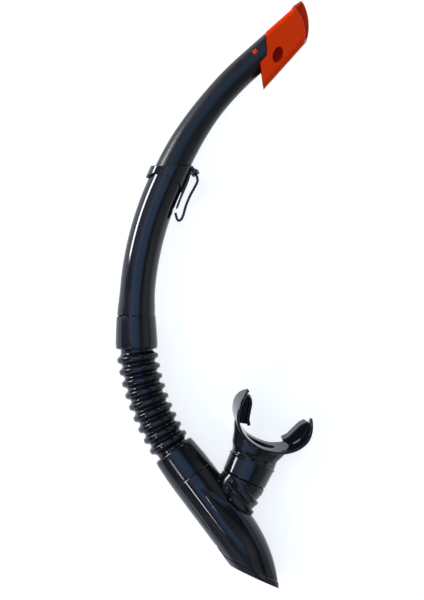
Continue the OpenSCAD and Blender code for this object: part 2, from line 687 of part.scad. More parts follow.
// The neck's ribs fan out from a line on its inner side
fan_at = [swivel_a - 0.8, neck_rib_d / 2 + 0.8];
neck_ribs = [[0, 9], [18, 22], [29, 33]];
module fan(from, to) translate(fan_at) linear_extrude(height = far, center = true)
    polygon([[0, 0], far * [-sin(from), -cos(from)], far * [-sin(to), -cos(to)]]);
module neck_sleeve() color(rubber_black) lying() difference() {
    in_neck() union() {
        rod_x(neck_core_d / 2, stub_d / 4, swivel_a - clear);
        for (r = neck_ribs) intersection() {
            rod_x(neck_rib_d / 2, stub_d / 4, swivel_a - clear);
            fan(r[0], r[1]);
        }
    }
    in_neck() rod_x(stub_r + fit, 0, far);
    in_housing() rod_x(chamber_r + fit, -far, far);
}
module swivel_ring() color(satin_black) lying() in_mouthpiece() difference() {
    rod_x(stub_r + run + ring_wall, 0, stub_rise - 2);
    rod_x(stub_r + run, -eps, far);
}

// Mouthpiece

mouth_bore_r = stub_r + run + ring_wall + fit / 2;
// A ring of an oval section at a, with half sizes w and h
function oval(a, w, h) = [for (i = [0:round_sides - 1]) let (t = 360 * i / round_sides)
    [a, -w * cos(t), h * sin(t)]];
// The same ring, pitched with the flange
function pitched(points) = [for (q = points) pitch(q)];
flange_back = flange_depth * 0.25;
collar_top_r = mouth_collar_d / 2 - 0.5;
module mouth_neck() skin([
    oval(mouth_collar_h - 2, collar_top_r, collar_top_r),
    oval(mouth_collar_h + 2, collar_top_r + 0.2, collar_top_r - 0.6),
    pitched(oval(0, flange_half_w * 0.6, flange_mid_h / 2 + 1.6)),
    pitched(oval(flange_back * 0.6, flange_half_w * 0.68, flange_mid_h / 2)),
    pitched(oval(flange_back * 1.3, flange_half_w * 0.74, flange_mid_h / 2 - 0.4)),
    pitched(oval(flange_back * 2.2, flange_half_w * 0.78, flange_mid_h / 2 - 0.8))
]);
module air_way() skin([
    oval(stub_rise - 1, mouth_bore_r, mouth_bore_r),
    oval(stub_rise + 0.4, mouth_bore_r, mouth_bore_r),
    pitched(oval(flange_back * 0.3, air_w / 2 + 0.6, air_h / 2 + 1)),
    pitched(oval(flange_back * 2.4, air_w / 2, air_h / 2))
]);
// The hollow of the mouth, inside the flange
module mouth_hollow() linear_extrude(height = far, center = true)
    polygon([for (t = [-flange_tip_angle:5:flange_tip_angle])
        [flange_depth * 1.25 - (flange_depth - flange_t / 2) * cos(t),
            -(flange_half_w - flange_t / 2) * sin(t)]]);
module bite_tab() {
    linear_extrude(height = web_t, center = true) polygon([
        [17.4, 13], [21.3, 16.1], [33, 19.8], [37.5, 23], [36, flange_half_w - 2],
        [28, flange_half_w - 0.6], [20, flange_half_w * 0.82], [15, flange_half_w * 0.72]]);
    linear_extrude(height = lug_h, center = true) polygon([
        [17.4, 13], [21.3, 16.1], [33, 19.8], [37, 22.6],
        [36.2, 24.6], [32.2, 22.2], [20.3, 18.4], [16, 15.2]]);
}
module mouthpiece() color(rubber_black) lying() {
    difference() {
        union() {
            in_mouthpiece() rod_x(mouth_collar_d / 2, clear, mouth_collar_h);
            in_mouthpiece() mouth_neck();
        }
        in_flange() mouth_hollow();
        in_mouthpiece() rod_x(mouth_bore_r, -eps, stub_rise);
        in_mouthpiece() air_way();
    }
    difference() {
        in_flange() skin(flange_rings);
        in_mouthpiece() air_way();
    }
    in_flange() for (s = [0, 1]) mirror([0, s, 0]) bite_tab();
}

splash_guard();
upper_barrel();
lower_barrel();
keeper_ring();
keeper_clip();
flex_hose();
lower_housing();
purge_seat();
purge_valve();
purge_cover();
neck_sleeve();
swivel_ring();
swivel_seal();
mouthpiece();
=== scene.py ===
"""Looks of a snorkel: splash guard, two barrels, strap keeper, ribbed hose, purge housing, mouthpiece.

Sizes are in millimetres in the snorkel's own frame and become metres when a mesh is made. The
snorkel lies flat: +Y runs up the barrel, +X points to the mouthpiece's side and +Z is up.
"""

from __future__ import annotations

import json
import logging
import math
from dataclasses import dataclass, field
from enum import Enum
from typing import Any, ClassVar, Sequence

import bmesh
import bpy
import numpy as np
from mathutils import Matrix, Vector

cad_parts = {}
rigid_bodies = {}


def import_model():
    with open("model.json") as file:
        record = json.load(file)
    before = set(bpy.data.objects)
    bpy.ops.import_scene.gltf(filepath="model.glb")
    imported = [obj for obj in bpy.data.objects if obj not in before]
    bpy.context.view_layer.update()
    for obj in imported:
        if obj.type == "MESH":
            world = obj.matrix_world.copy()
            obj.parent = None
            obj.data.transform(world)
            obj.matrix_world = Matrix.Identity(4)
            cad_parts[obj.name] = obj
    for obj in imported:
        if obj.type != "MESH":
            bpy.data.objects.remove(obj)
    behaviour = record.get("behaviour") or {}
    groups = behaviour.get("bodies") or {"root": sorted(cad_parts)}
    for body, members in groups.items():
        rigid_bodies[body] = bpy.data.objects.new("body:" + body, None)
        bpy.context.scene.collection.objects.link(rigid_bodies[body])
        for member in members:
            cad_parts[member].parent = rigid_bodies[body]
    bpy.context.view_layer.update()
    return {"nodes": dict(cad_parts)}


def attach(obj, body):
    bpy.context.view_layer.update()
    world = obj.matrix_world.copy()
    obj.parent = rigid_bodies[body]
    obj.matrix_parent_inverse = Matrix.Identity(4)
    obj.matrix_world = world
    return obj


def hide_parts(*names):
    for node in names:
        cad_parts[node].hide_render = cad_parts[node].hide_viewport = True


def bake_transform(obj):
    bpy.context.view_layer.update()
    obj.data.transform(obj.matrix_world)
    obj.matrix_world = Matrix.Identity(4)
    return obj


LOG = logging.getLogger("snorkel")
MM = 0.001  # metres in a millimetre
LEVEL = 17.3  # height of the barrel's plane
TURN = 2 * math.pi
MOST = 0.48  # share of an edge that the rounding of one corner may take
WHITE = (1.0, 1.0, 1.0, 1.0)

Object = bpy.types.Object
Socket = bpy.types.NodeSocket
Tree = bpy.types.NodeTree
Pair = tuple[float, float]
Triple = tuple[float, float, float]


class Slot(Enum):
    """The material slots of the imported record."""

    GLOSS = "gloss_black"
    SATIN = "satin_black"
    RUBBER = "rubber_black"
    ORANGE = "guard_orange"
    SILICONE = "valve_silicone"


# Frames and paths


class Place:
    """A local frame of the snorkel, as a matrix in millimetres."""

    def __init__(self, matrix: Matrix) -> None:
        """Keeps the matrix that takes local points to the snorkel's frame."""
        self.matrix = matrix

    @classmethod
    def turned(cls, x: float, y: float, degrees: float) -> "Place":
        """Makes a frame in the barrel's plane.

        Args:
            x: Its origin along +X.
            y: Its origin along +Y.
            degrees: The turn of its x axis about +Z.

        Returns:
            The frame.
        """
        turn = Matrix.Rotation(math.radians(degrees), 4, "Z")
        return cls(Matrix.Translation((x, y, LEVEL)) @ turn)

    def moved(self, x: float, y: float = 0.0, z: float = 0.0) -> "Place":
        """Returns this frame, moved along its own axes."""
        return Place(self.matrix @ Matrix.Translation((x, y, z)))

    def spun(self, degrees: float, axis: str) -> "Place":
        """Returns this frame, turned about one of its own axes."""
        return Place(self.matrix @ Matrix.Rotation(math.radians(degrees), 4, axis))

    def points(self, local: np.ndarray) -> np.ndarray:
        """Returns local points, any shape ending in 3, in the snorkel's frame."""
        m = np.array(self.matrix)
        return local @ m[:3, :3].T + m[:3, 3]


@dataclass(frozen=True)
class Stretch:
    """One stretch of a path: its length and its turn in degrees."""

    length: float
    turn: float = 0.0


class Path:
    """A centre line in the barrel's plane, made of straight and bent stretches."""

    def __init__(self, start: Pair, lean: float, rise: int, stretches: Sequence[Stretch]) -> None:
        """Sets out the path.

        Args:
            start: Its first point.
            lean: Its lean from the Y axis towards +X at the start, in degrees.
            rise: 1 if it runs up, -1 if it runs down.
            stretches: Its stretches in order.
        """
        self.start = start
        self.lean = math.radians(lean)
        self.rise = rise
        self.stretches = tuple(stretches)
        self.length = sum(s.length for s in stretches)

    def at(self, s: float) -> tuple[np.ndarray, float]:
        """Finds a place on the path.

        Args:
            s: Length along the path.

        Returns:
            The point there, and the lean there in radians.
        """
        p = np.array([*self.start, LEVEL])
        lean, left = self.lean, s
        for number, stretch in enumerate(self.stretches):
            last = number == len(self.stretches) - 1
            run = left if last else min(left, stretch.length)
            turn = math.radians(stretch.turn) * run / stretch.length
            if turn == 0.0:
                p = p + run * np.array([math.sin(lean), self.rise * math.cos(lean), 0.0])
            else:
                across = math.cos(lean) - math.cos(lean + turn)
                ahead = self.rise * (math.sin(lean + turn) - math.sin(lean))
                p = p + run / turn * np.array([across, ahead, 0.0])
            lean += turn
            left -= run
            if left <= 0.0:
                break
        return p, lean

    def ring(self, s: float, r: float, sides: int) -> np.ndarray:
        """Returns a ring of points square to the path.

        Args:
            s: Length along the path.
            r: Radius of the ring.
            sides: Number of points.

        Returns:
            An array of sides by 3.
        """
        p, lean = self.at(s)
        across = np.array([math.cos(lean), -self.rise * math.sin(lean), 0.0])
        t = np.arange(sides) * TURN / sides
        return p + r * (np.cos(t)[:, None] * across + np.sin(t)[:, None] * np.array([0.0, 0.0, 1.0]))

    def tube(self, profile: Sequence[Pair], sides: int) -> np.ndarray:
        """Returns a ring along the path for each (length, radius) of a profile."""
        return np.array([self.ring(s, r, sides) for s, r in profile])


def ease(t: np.ndarray | float) -> np.ndarray | float:
    """Returns a smooth step from 0 to 1."""
    c = np.clip(t, 0.0, 1.0)
    return c * c * (3 - 2 * c)


def through(points: Sequence[Sequence[float]] | np.ndarray, steps: int) -> np.ndarray:
    """Draws a smooth curve through points of any number of dimensions.

    Args:
        points: The points.
        steps: Steps from one point to the next.

    Returns:
        The curve's points.
    """
    p = np.array(points, float)
    out = []
    for i in range(len(p) - 1):
        a, b, c, d = p[max(0, i - 1)], p[i], p[i + 1], p[min(len(p) - 1, i + 2)]
        square = 2 * a - 5 * b + 4 * c - d
        cube = 3 * b - a - 3 * c + d
        for k in range(steps):
            t = k / steps
            out.append((2 * b + (c - a) * t + square * t**2 + cube * t**3) / 2)
    out.append(p[-1])
    return np.array(out)


def rounded(profile: Sequence[Triple], steps: int = 5) -> list[Pair]:
    """Rounds the corners of an outline.

    Args:
        profile: Corners as (x, y, radius); the first and last stay as they are.
        steps: Steps round each corner.

    Returns:
        The rounded outline.
    """
    out = [profile[0][:2]]
    for before, here, after in zip(profile, profile[1:], profile[2:]):
        p, r = np.array(here[:2]), here[2]
        a, b = np.array(before[:2]) - p, np.array(after[:2]) - p
        la, lb = np.linalg.norm(a), np.linalg.norm(b)
        cut = min(r, la * MOST, lb * MOST)
        start, end = p + a / la * cut, p + b / lb * cut
        for k in range(steps + 1):
            t = k / steps
            q = (1 - t) ** 2 * start + 2 * t * (1 - t) * p + t**2 * end
            out.append((float(q[0]), float(q[1])))
    out.append(profile[-1][:2])
    return out


def closed(corners: Sequence[Triple], steps: int = 5) -> list[Pair]:
    """Returns a closed outline with rounded corners, which starts at a corner of radius 0."""
    return rounded([*corners, corners[0]], steps)[:-1]


def ellipse(width: float, height: float, sides: int) -> np.ndarray:
    """Returns the points of a flat ellipse, given its two half sizes."""
    t = np.arange(sides) * TURN / sides
    return np.column_stack([width * np.cos(t), height * np.sin(t)])


# Meshes


class Draft:
    """Vertices and faces of one piece, gathered before they become a mesh."""

    def __init__(self) -> None:
        """Starts with nothing."""
        self.blocks: list[np.ndarray] = []
        self.faces: list[tuple[int, ...]] = []
        self.count = 0

    def rows(self, grid: np.ndarray) -> np.ndarray:
        """Adds a grid of points.

        Args:
            grid: The points, rows by columns by 3.

        Returns:
            The index of each.
        """
        m, n, _ = grid.shape
        first = self.count
        self.blocks.append(grid.reshape(-1, 3))
        self.count += m * n
        return np.arange(first, self.count).reshape(m, n)

    def weave(self, index: np.ndarray, round_rows: bool = False, round_columns: bool = True) -> None:
        """Lays quads over a grid.

        Args:
            index: Index of each of the grid's points.
            round_rows: Whether the last row joins the first.
            round_columns: Whether the last column joins the first.
        """
        m, n = index.shape
        for i in range(m if round_rows else m - 1):
            for j in range(n if round_columns else n - 1):
                k, l = (i + 1) % m, (j + 1) % n
                self.faces.append((index[i, j], index[i, l], index[k, l], index[k, j]))

    def lid(self, row: Sequence[int]) -> None:
        """Closes a row of points with one face."""
        self.faces.append(tuple(int(i) for i in row))

    def shell(self, grid: np.ndarray) -> "Draft":
        """Adds a closed shell, whose grid runs up outside and back down inside, and returns the draft."""
        self.weave(self.rows(grid), round_rows=True)
        return self

    def solid(self, grid: np.ndarray) -> "Draft":
        """Adds a solid.

        Args:
            grid: Its rings; the first and the last one are closed with a lid.

        Returns:
            The draft.
        """
        index = self.rows(grid)
        self.weave(index)
        self.lid(index[0][::-1])
        self.lid(index[-1])
        return self

    def piece(self, name: str, place: Place | None = None) -> Object:
        """Makes the mesh and its object, with faces that point outwards.

        Args:
            name: Name of the piece.
            place: Frame of the points; the snorkel's own if left out.

        Returns:
            The object, at the origin.
        """
        points = np.concatenate(self.blocks)
        if place is not None:
            points = place.points(points)
        mesh = bpy.data.meshes.new(name)
        mesh.from_pydata((points * MM).tolist(), [], [[int(i) for i in f] for f in self.faces])
        mesh.validate()
        turn_outwards(mesh)
        shade_smooth(mesh)
        obj = bpy.data.objects.new(name, mesh)
        bpy.context.collection.objects.link(obj)
        return obj


def turn_outwards(mesh: bpy.types.Mesh) -> None:
    """Turns a closed mesh's faces round if they point inwards.

    Args:
        mesh: The mesh.
    """
    mesh.calc_loop_triangles()
    v = np.array([p.co for p in mesh.vertices])
    t = np.array([p.vertices[:] for p in mesh.loop_triangles])
    volume = np.einsum("ij,ij->i", v[t[:, 0]], np.cross(v[t[:, 1]], v[t[:, 2]])).sum()
    if volume < 0:
        mesh.flip_normals()


def shade_smooth(mesh: bpy.types.Mesh) -> None:
    """Makes every face of a mesh smooth."""
    mesh.polygons.foreach_set("use_smooth", np.ones(len(mesh.polygons), bool))


def extrusion(name: str, outline: Sequence[Sequence[float]], half: float, place: Place) -> Object:
    """Makes a flat solid from an outline.

    Args:
        name: Name of the piece.
        outline: Points of the outline in the frame's x and y.
        half: Half its thickness, along z.
        place: Frame of the outline.

    Returns:
        The object.
    """
    flat = np.array(outline, float)
    grid = np.stack([np.column_stack([flat, np.full(len(flat), z)]) for z in (-half, half)])
    return Draft().solid(grid).piece(name, place)


def join(name: str, parts: Sequence[Object]) -> Object:
    """Joins pieces.

    Args:
        name: Name of the whole.
        parts: The pieces; the first one takes in the others.

    Returns:
        The whole.
    """
    bpy.ops.object.select_all(action="DESELECT")
    for part in parts:
        part.select_set(True)
    bpy.context.view_layer.objects.active = parts[0]
    bpy.ops.object.join()
    parts[0].name = name
    parts[0].data.name = name
    return parts[0]


def settle(obj: Object) -> Object:
    """Turns what an object's modifiers make into its mesh.

    Args:
        obj: The object.

    Returns:
        The same object, without modifiers.
    """
    graph = bpy.context.evaluated_depsgraph_get()
    mesh = bpy.data.meshes.new_from_object(obj.evaluated_get(graph))
    old = obj.data
    obj.modifiers.clear()
    obj.data = mesh
    mesh.name = obj.name
    bpy.data.meshes.remove(old)
    return obj


def cut(obj: Object, tool: Object, keep: bool = False) -> Object:
    """Takes one solid away from another.

    Args:
        obj: The solid that stays.
        tool: The solid to take away.
        keep: Whether the tool is used again.

    Returns:
        The first solid, cut.
    """
    modifier = obj.modifiers.new("cut", "BOOLEAN")
    modifier.operation = "DIFFERENCE"
    modifier.solver = "EXACT"
    modifier.object = tool
    settle(obj)
    if not keep:
        bpy.data.objects.remove(tool)
    return obj


def soften(obj: Object, width: float, degrees: float = 50.0, segments: int = 3) -> Object:
    """Rounds the sharp edges of a piece.

    Args:
        obj: The piece.
        width: Width of the rounding.
        degrees: Edges that turn more than this are rounded.
        segments: Faces across the rounding.

    Returns:
        The piece.
    """
    bevel = obj.modifiers.new("rounding", "BEVEL")
    bevel.width = width * MM
    bevel.segments = segments
    bevel.limit_method = "ANGLE"
    bevel.angle_limit = math.radians(degrees)
    bevel.miter_outer = "MITER_ARC"
    even = obj.modifiers.new("even", "WEIGHTED_NORMAL")
    even.keep_sharp = False
    settle(obj)
    shade_smooth(obj.data)
    return obj


def halve(obj: Object, place: Place, keep_positive: bool) -> Object:
    """Cuts a solid with the plane y = 0 of a frame and closes the cut.

    Args:
        obj: The solid.
        place: The frame whose x and z axes lie in the plane.
        keep_positive: Whether the side with positive y stays.

    Returns:
        The part that stays.
    """
    origin = place.points(np.zeros(3)) * MM
    normal = place.points(np.array([0.0, 1.0, 0.0])) * MM - origin
    b = bmesh.new()
    b.from_mesh(obj.data)
    result = bmesh.ops.bisect_plane(
        b,
        geom=b.verts[:] + b.edges[:] + b.faces[:],
        dist=1e-7,
        plane_co=Vector(origin),
        plane_no=Vector(normal).normalized(),
        clear_inner=keep_positive,
        clear_outer=not keep_positive,
    )
    edges = [e for e in result["geom_cut"] if isinstance(e, bmesh.types.BMEdge)]
    bmesh.ops.contextual_create(b, geom=edges)
    b.to_mesh(obj.data)
    b.free()
    turn_outwards(obj.data)
    shade_smooth(obj.data)
    return obj


# Finishes


class Wires:
    """A node tree that is being laid out."""

    def __init__(self, tree: Tree) -> None:
        """Keeps the tree."""
        self.tree = tree

    def fill(self, node: bpy.types.Node, inputs: dict[str | int, Any]) -> None:
        """Fills a node's inputs.

        Args:
            node: The node.
            inputs: For each input the socket to link it to, or its value.
        """
        for name, value in inputs.items():
            if isinstance(value, Socket):
                self.tree.links.new(value, node.inputs[name])
            else:
                node.inputs[name].default_value = value

    def add(self, kind: str, inputs: dict[str | int, Any] | None = None, **settings: Any) -> bpy.types.Node:
        """Adds a node.

        Args:
            kind: Type of the node.
            inputs: What its inputs get.
            settings: Its own settings, made before the inputs are filled.

        Returns:
            The node.
        """
        node = self.tree.nodes.new(kind)
        for name, value in settings.items():
            setattr(node, name, value)
        self.fill(node, inputs or {})
        return node

    def calc(self, operation: str, *values: Any) -> Socket:
        """Adds a sum on sockets or numbers and returns its output."""
        return self.add("ShaderNodeMath", dict(enumerate(values)), operation=operation).outputs[0]


class Skin:
    """The shader group of a moulded surface: soft waves, fine grain and handling marks."""

    NAME = "moulded_skin"
    INPUTS = ("Grain Scale", "Grain", "Wave", "Smear")
    OUTPUTS = ("Height", "Marks")
    STREAK = (3.0, 0.5, 1.0)
    MARKS_FROM, MARKS_TO = 0.42, 0.78

    @classmethod
    def group(cls) -> Tree:
        """Finds the group, and builds it the first time.

        Returns:
            The group.
        """
        found = bpy.data.node_groups.get(cls.NAME)
        if found is not None:
            return found
        tree = bpy.data.node_groups.new(cls.NAME, "ShaderNodeTree")
        for way, names in (("INPUT", cls.INPUTS), ("OUTPUT", cls.OUTPUTS)):
            for name in names:
                tree.interface.new_socket(name, in_out=way, socket_type="NodeSocketFloat")
        wires = Wires(tree)
        given = wires.add("NodeGroupInput").outputs
        where = wires.add("ShaderNodeTexCoord").outputs["Object"]
        streak = wires.add("ShaderNodeMapping", {"Vector": where, "Scale": cls.STREAK}).outputs["Vector"]

        def noise(vector: Socket, scale: Socket | float, detail: float) -> Socket:
            """Adds a noise texture and returns its strength."""
            inputs = {"Vector": vector, "Scale": scale, "Detail": detail}
            return wires.add("ShaderNodeTexNoise", inputs).outputs["Fac"]

        fine = wires.calc("MULTIPLY", noise(where, given["Grain Scale"], 3.0), given["Grain"])
        broad = wires.calc("MULTIPLY", noise(where, 55.0, 2.0), given["Wave"])
        smear = {"Value": noise(streak, 38.0, 5.0), "From Min": cls.MARKS_FROM, "From Max": cls.MARKS_TO}
        ramp = wires.add("ShaderNodeMapRange", smear).outputs["Result"]
        marks = wires.calc("MULTIPLY", ramp, given["Smear"])
        wires.add("NodeGroupOutput", {"Height": wires.calc("ADD", fine, broad), "Marks": marks})
        return tree


@dataclass(frozen=True)
class Finish:
    """A moulded plastic or rubber: its colours, gloss and surface marks."""

    BUMP_DEPTH: ClassVar[float] = 0.0002
    GLOW_DEPTH: ClassVar[Triple] = (0.004, 0.0012, 0.0006)

    name: str
    slot: Slot
    color: Triple
    marked: Triple
    rough: float
    rough_marked: float
    grain_scale: float
    grain: float
    wave: float
    smear: float
    bump: float
    specular: float = 0.5
    subsurface: float = 0.0

    def material(self) -> bpy.types.Material:
        """Finds the material, and builds it the first time.

        Returns:
            The material.
        """
        found = bpy.data.materials.get(self.name)
        if found is not None:
            return found
        material = bpy.data.materials.new(self.name)
        material.use_nodes = True
        wires = Wires(material.node_tree)
        skin = wires.add(
            "ShaderNodeGroup",
            {"Grain Scale": self.grain_scale, "Grain": self.grain, "Wave": self.wave, "Smear": self.smear},
            node_tree=Skin.group(),
        ).outputs
        tint = wires.add(
            "ShaderNodeMix",
            {"Factor": skin["Marks"], "A": (*self.color, 1.0), "B": (*self.marked, 1.0)},
            data_type="RGBA",
        )
        rough = wires.add(
            "ShaderNodeMapRange", {"Value": skin["Marks"], "To Min": self.rough, "To Max": self.rough_marked}
        )
        bump = wires.add(
            "ShaderNodeBump", {"Height": skin["Height"], "Strength": self.bump, "Distance": self.BUMP_DEPTH}
        )
        wires.fill(
            material.node_tree.nodes["Principled BSDF"],
            {
                "Base Color": tint.outputs["Result"],
                "Roughness": rough.outputs["Result"],
                "Normal": bump.outputs["Normal"],
                "Specular IOR Level": self.specular,
                "Subsurface Weight": self.subsurface,
                "Subsurface Radius": self.GLOW_DEPTH,
            },
        )
        return material

    def dress(self, obj: Object) -> None:
        """Puts the material on a piece, all over."""
        obj.data.materials.clear()
        obj.data.materials.append(self.material())


# The faint blue in the black finishes' base and marked colours is a painted reflection of the bluish
# surroundings; the near-black under it is the plastic's and rubber's own colour.
GLOSS = Finish(
    "gloss_plastic", Slot.GLOSS, color=(0.0045, 0.005, 0.0075), marked=(0.008, 0.009, 0.013),
    rough=0.07, rough_marked=0.16, grain_scale=3200.0, grain=0.03, wave=0.12, smear=0.55,
    bump=0.1, specular=0.4,
)
SATIN = Finish(
    "satin_plastic", Slot.SATIN, color=(0.0055, 0.006, 0.008), marked=(0.01, 0.011, 0.014),
    rough=0.3, rough_marked=0.42, grain_scale=3600.0, grain=0.3, wave=0.2, smear=0.5,
    bump=0.1, specular=0.32,
)
RUBBER = Finish(
    "black_rubber", Slot.RUBBER, color=(0.005, 0.0055, 0.008), marked=(0.011, 0.012, 0.016),
    rough=0.12, rough_marked=0.24, grain_scale=2800.0, grain=0.12, wave=0.2, smear=0.55,
    bump=0.12, specular=0.36,
)
ORANGE = Finish(
    "orange_plastic", Slot.ORANGE, color=(0.8, 0.043, 0.0015), marked=(0.71, 0.035, 0.001),
    rough=0.38, rough_marked=0.46, grain_scale=3000.0, grain=0.4, wave=0.3, smear=0.5,
    bump=0.16, specular=0.03, subsurface=0.04,
)
SILICONE = Finish(
    "valve_silicone", Slot.SILICONE, color=(0.6, 0.62, 0.62), marked=(0.5, 0.52, 0.52),
    rough=0.4, rough_marked=0.5, grain_scale=2000.0, grain=0.3, wave=0.3, smear=0.4,
    bump=0.1,
)


def show(obj: Object, finish: Finish, *nodes: str, body: str | None = None) -> None:
    """Dresses a piece, hides the CAD nodes that it stands for and lets it ride on a body.

    Args:
        obj: The piece.
        finish: Its finish.
        nodes: CAD nodes that it stands for.
        body: CAD body that it moves with; left out for a piece that bends between two.
    """
    finish.dress(obj)
    if nodes:
        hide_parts(*nodes)
    if body is not None:
        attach(obj, body)
    LOG.info("%s: %d faces", obj.name, len(obj.data.polygons))


# The snorkel's own frames and paths, with turns in degrees

SEAM = (-58.4211, -15.1949)
BEND = 229.0
ARC = math.radians(1.0) * BEND
FOOT_LEN, LOWER_TURN, LAND_LEN, UPPER_TURN, SOCKET_LEN = 13.0, 20.5, 12.0, 25.0, 18.0
LOWER_BEND = Stretch(LOWER_TURN * ARC, LOWER_TURN)
UPPER_BEND = Stretch(UPPER_TURN * ARC, UPPER_TURN)
RISE = Path(SEAM, 3.0, 1, (Stretch(FOOT_LEN), LOWER_BEND, Stretch(LAND_LEN), UPPER_BEND, Stretch(SOCKET_LEN)))
LAND = Place.turned(-34.2763, 88.1206, -23.5)
TOP = Place.turned(37.4717, 180.245, -48.5)
HOUSING = Place.turned(-17.1513, -132.204, -53.0)
HEEL_U, CHAMBER_R, TIP_U, TIP_V = 70.0, 17.3, 104.4, 0.7
BOTTOM_ANGLE = math.degrees(math.atan2(TIP_V + CHAMBER_R, TIP_U - HEEL_U))
BOTTOM = HOUSING.moved(HEEL_U, -CHAMBER_R).spun(BOTTOM_ANGLE, "Z")
NECK = HOUSING.moved(40.3).spun(118.0, "Z")
SWIVEL_A = 32.3
MOUTH = NECK.moved(SWIVEL_A).spun(14.0, "X")
FLANGE = MOUTH.moved(22.0, 1.5).spun(-12.0, "Y")
TOP_R = 10.0
SLOPE = math.tan(math.radians(37.0))  # of the barrel's slanted upper end


@dataclass
class SplashGuard:
    """The orange guard: a flat-sided scoop with a drain skirt, a vent and a plug."""

    RUNS: ClassVar[tuple[int, ...]] = (19, 8, 7, 9, 7, 8, 19, 7, 9, 7)  # points on each run of a section

    half: float = 10.8
    back: float = -10.0
    middle: float = 7.0
    front: float = 17.8
    flare: float = 6.7
    edge: float = 3.5
    wall: float = 1.6
    rim: float = 12.0
    mouth_r: float = 38.9
    mouth_at: Pair = (-18.0, 0.5)
    mouth_tilt: float = 19.0
    mouth_twist: float = 5.5
    lip: float = 0.8
    lip_from: float = 0.86
    lip_share: float = 0.1
    vent_at: Pair = (8.4, 3.4)
    vent: Pair = (6.1, 3.6)
    vent_turn: float = 120.0
    plug_r: float = 8.0
    bore_r: float = 6.8
    partition_r: float = 9.85
    nub_angle: float = 64.0
    nub_r: float = 10.3
    nub_y: float = -7.5
    nub_half: float = 2.0
    rows: int = 50
    skirt: tuple[Pair, ...] = ((2.6, -1.7), (3.4, -3.2), (3.7, -6.0), (4.4, -10.2), (20.6, -21.0))

    def lower(self, x: np.ndarray) -> np.ndarray:
        """Returns how low the guard reaches at places x."""
        points = ((-self.rim, self.rim * SLOPE + 0.3), *self.skirt)
        return np.interp(x, *np.array(points).T)

    def upper(self, x: np.ndarray, z: np.ndarray) -> np.ndarray:
        """Finds how high the curved mouth is.

        Args:
            x: Places from the back to the front.
            z: Places across the guard.

        Returns:
            The height at each place.
        """
        tilt = math.radians(self.mouth_tilt)
        rise = np.sqrt(np.maximum(self.mouth_r**2 - (x - self.mouth_at[0]) ** 2, 1.0))
        far = self.mouth_at[1] + self.half * math.tan(tilt) + rise / math.cos(tilt)
        return far - (z + self.half) * np.tan(tilt - np.radians(self.mouth_twist * (x + 2.0) / 9.0))

    def section(self, y: np.ndarray, inset: float, lip: float = 0.0) -> Sequence[np.ndarray]:
        """Finds the points of a section, run by run from the back of the near side.

        Args:
            y: Height of each point.
            inset: How far the section lies inside the outer face.
            lip: How far its back stands out.

        Returns:
            The points' x and z.
        """
        r = self.edge - inset / 2
        x0, z1 = self.back + inset - lip, self.half - inset
        front = self.front - y * math.tan(math.radians(self.flare)) - inset
        f = np.split(front, np.cumsum(self.RUNS[:-1]))
        near = np.concatenate([np.linspace(x0 + r, 2.2, 9), np.linspace(2.6, 5.4, 9), [self.middle]])
        share = np.linspace(0.12, 1.0, 8)
        a = np.radians(np.linspace(90, 0, 9)[1:-1])
        c, s = r * np.cos(a), r * np.sin(a)
        across = np.linspace(z1 - r, r - z1, 9)
        flat = np.full(len(near) + len(share), z1)
        x = [near, self.middle + (f[1] - r - self.middle) * share, f[2] - r + c, f[3], f[4] - r + c[::-1]]
        x += [self.middle + (f[5] - r - self.middle) * share[::-1], near[::-1]]
        x += [x0 + r - c, np.full(len(across), x0), x0 + r - c[::-1]]
        z = [flat, z1 - r + s, across, r - z1 - s[::-1], -flat, r - z1 - s, across[::-1], z1 - r + s[::-1]]
        return np.concatenate(x), np.concatenate(z)

    def wall_rows(self, inset: float) -> np.ndarray:
        """Makes one face of the wall, from the skirt to the mouth.

        Args:
            inset: How far it lies inside the outer face.

        Returns:
            The grid of its points.
        """
        low = np.zeros(sum(self.RUNS))
        high = np.full_like(low, 30.0)
        for _ in range(6):
            low = self.lower(self.section(low, inset)[0])
            high = self.upper(*self.section(high, inset, self.lip))
        grid = []
        for t in np.linspace(0, 1, self.rows):
            y = low + (high - low) * t
            lip = self.lip * float(ease((t - self.lip_from) / self.lip_share))
            x, z = self.section(y, inset, lip)
            grid.append(np.column_stack([x, y, z]))
        return np.array(grid)

    def hood(self) -> Object:
        """Builds the hood with its oval vent.

        Returns:
            The hood.
        """
        grid = np.concatenate([self.wall_rows(0.0), self.wall_rows(self.wall)[::-1]])
        hood = Draft().shell(grid).piece("guard_hood", TOP)
        place = TOP.moved(*self.vent_at, self.half).spun(self.vent_turn, "Z")
        cut(hood, extrusion("vent", ellipse(*self.vent, 40), self.half, place))
        return soften(hood, 0.5)

    def plug(self) -> Object:
        """Builds the slanted partition and the plug inside the barrel.

        Returns:
            The plug.
        """

        def ring(r: float, y: float, slope: float = SLOPE) -> np.ndarray:
            """Returns a ring on the slanted plane, or on another."""
            x, z = ellipse(r, r, 72).T
            return np.column_stack([x, y - x * slope, z])

        level = ((self.plug_r, -14.4), (self.plug_r - 0.5, -15.0), (self.bore_r, -15.0))
        slanted = ((self.bore_r, 1.9), (self.bore_r + 0.3, 2.3))
        slanted += ((self.partition_r, 2.3), (self.partition_r, 0.35), (self.plug_r, 0.35))
        rings = [ring(r, y, 0.0) for r, y in level] + [ring(r, y) for r, y in slanted]
        return Draft().shell(np.array(rings)).piece("guard_plug", TOP)

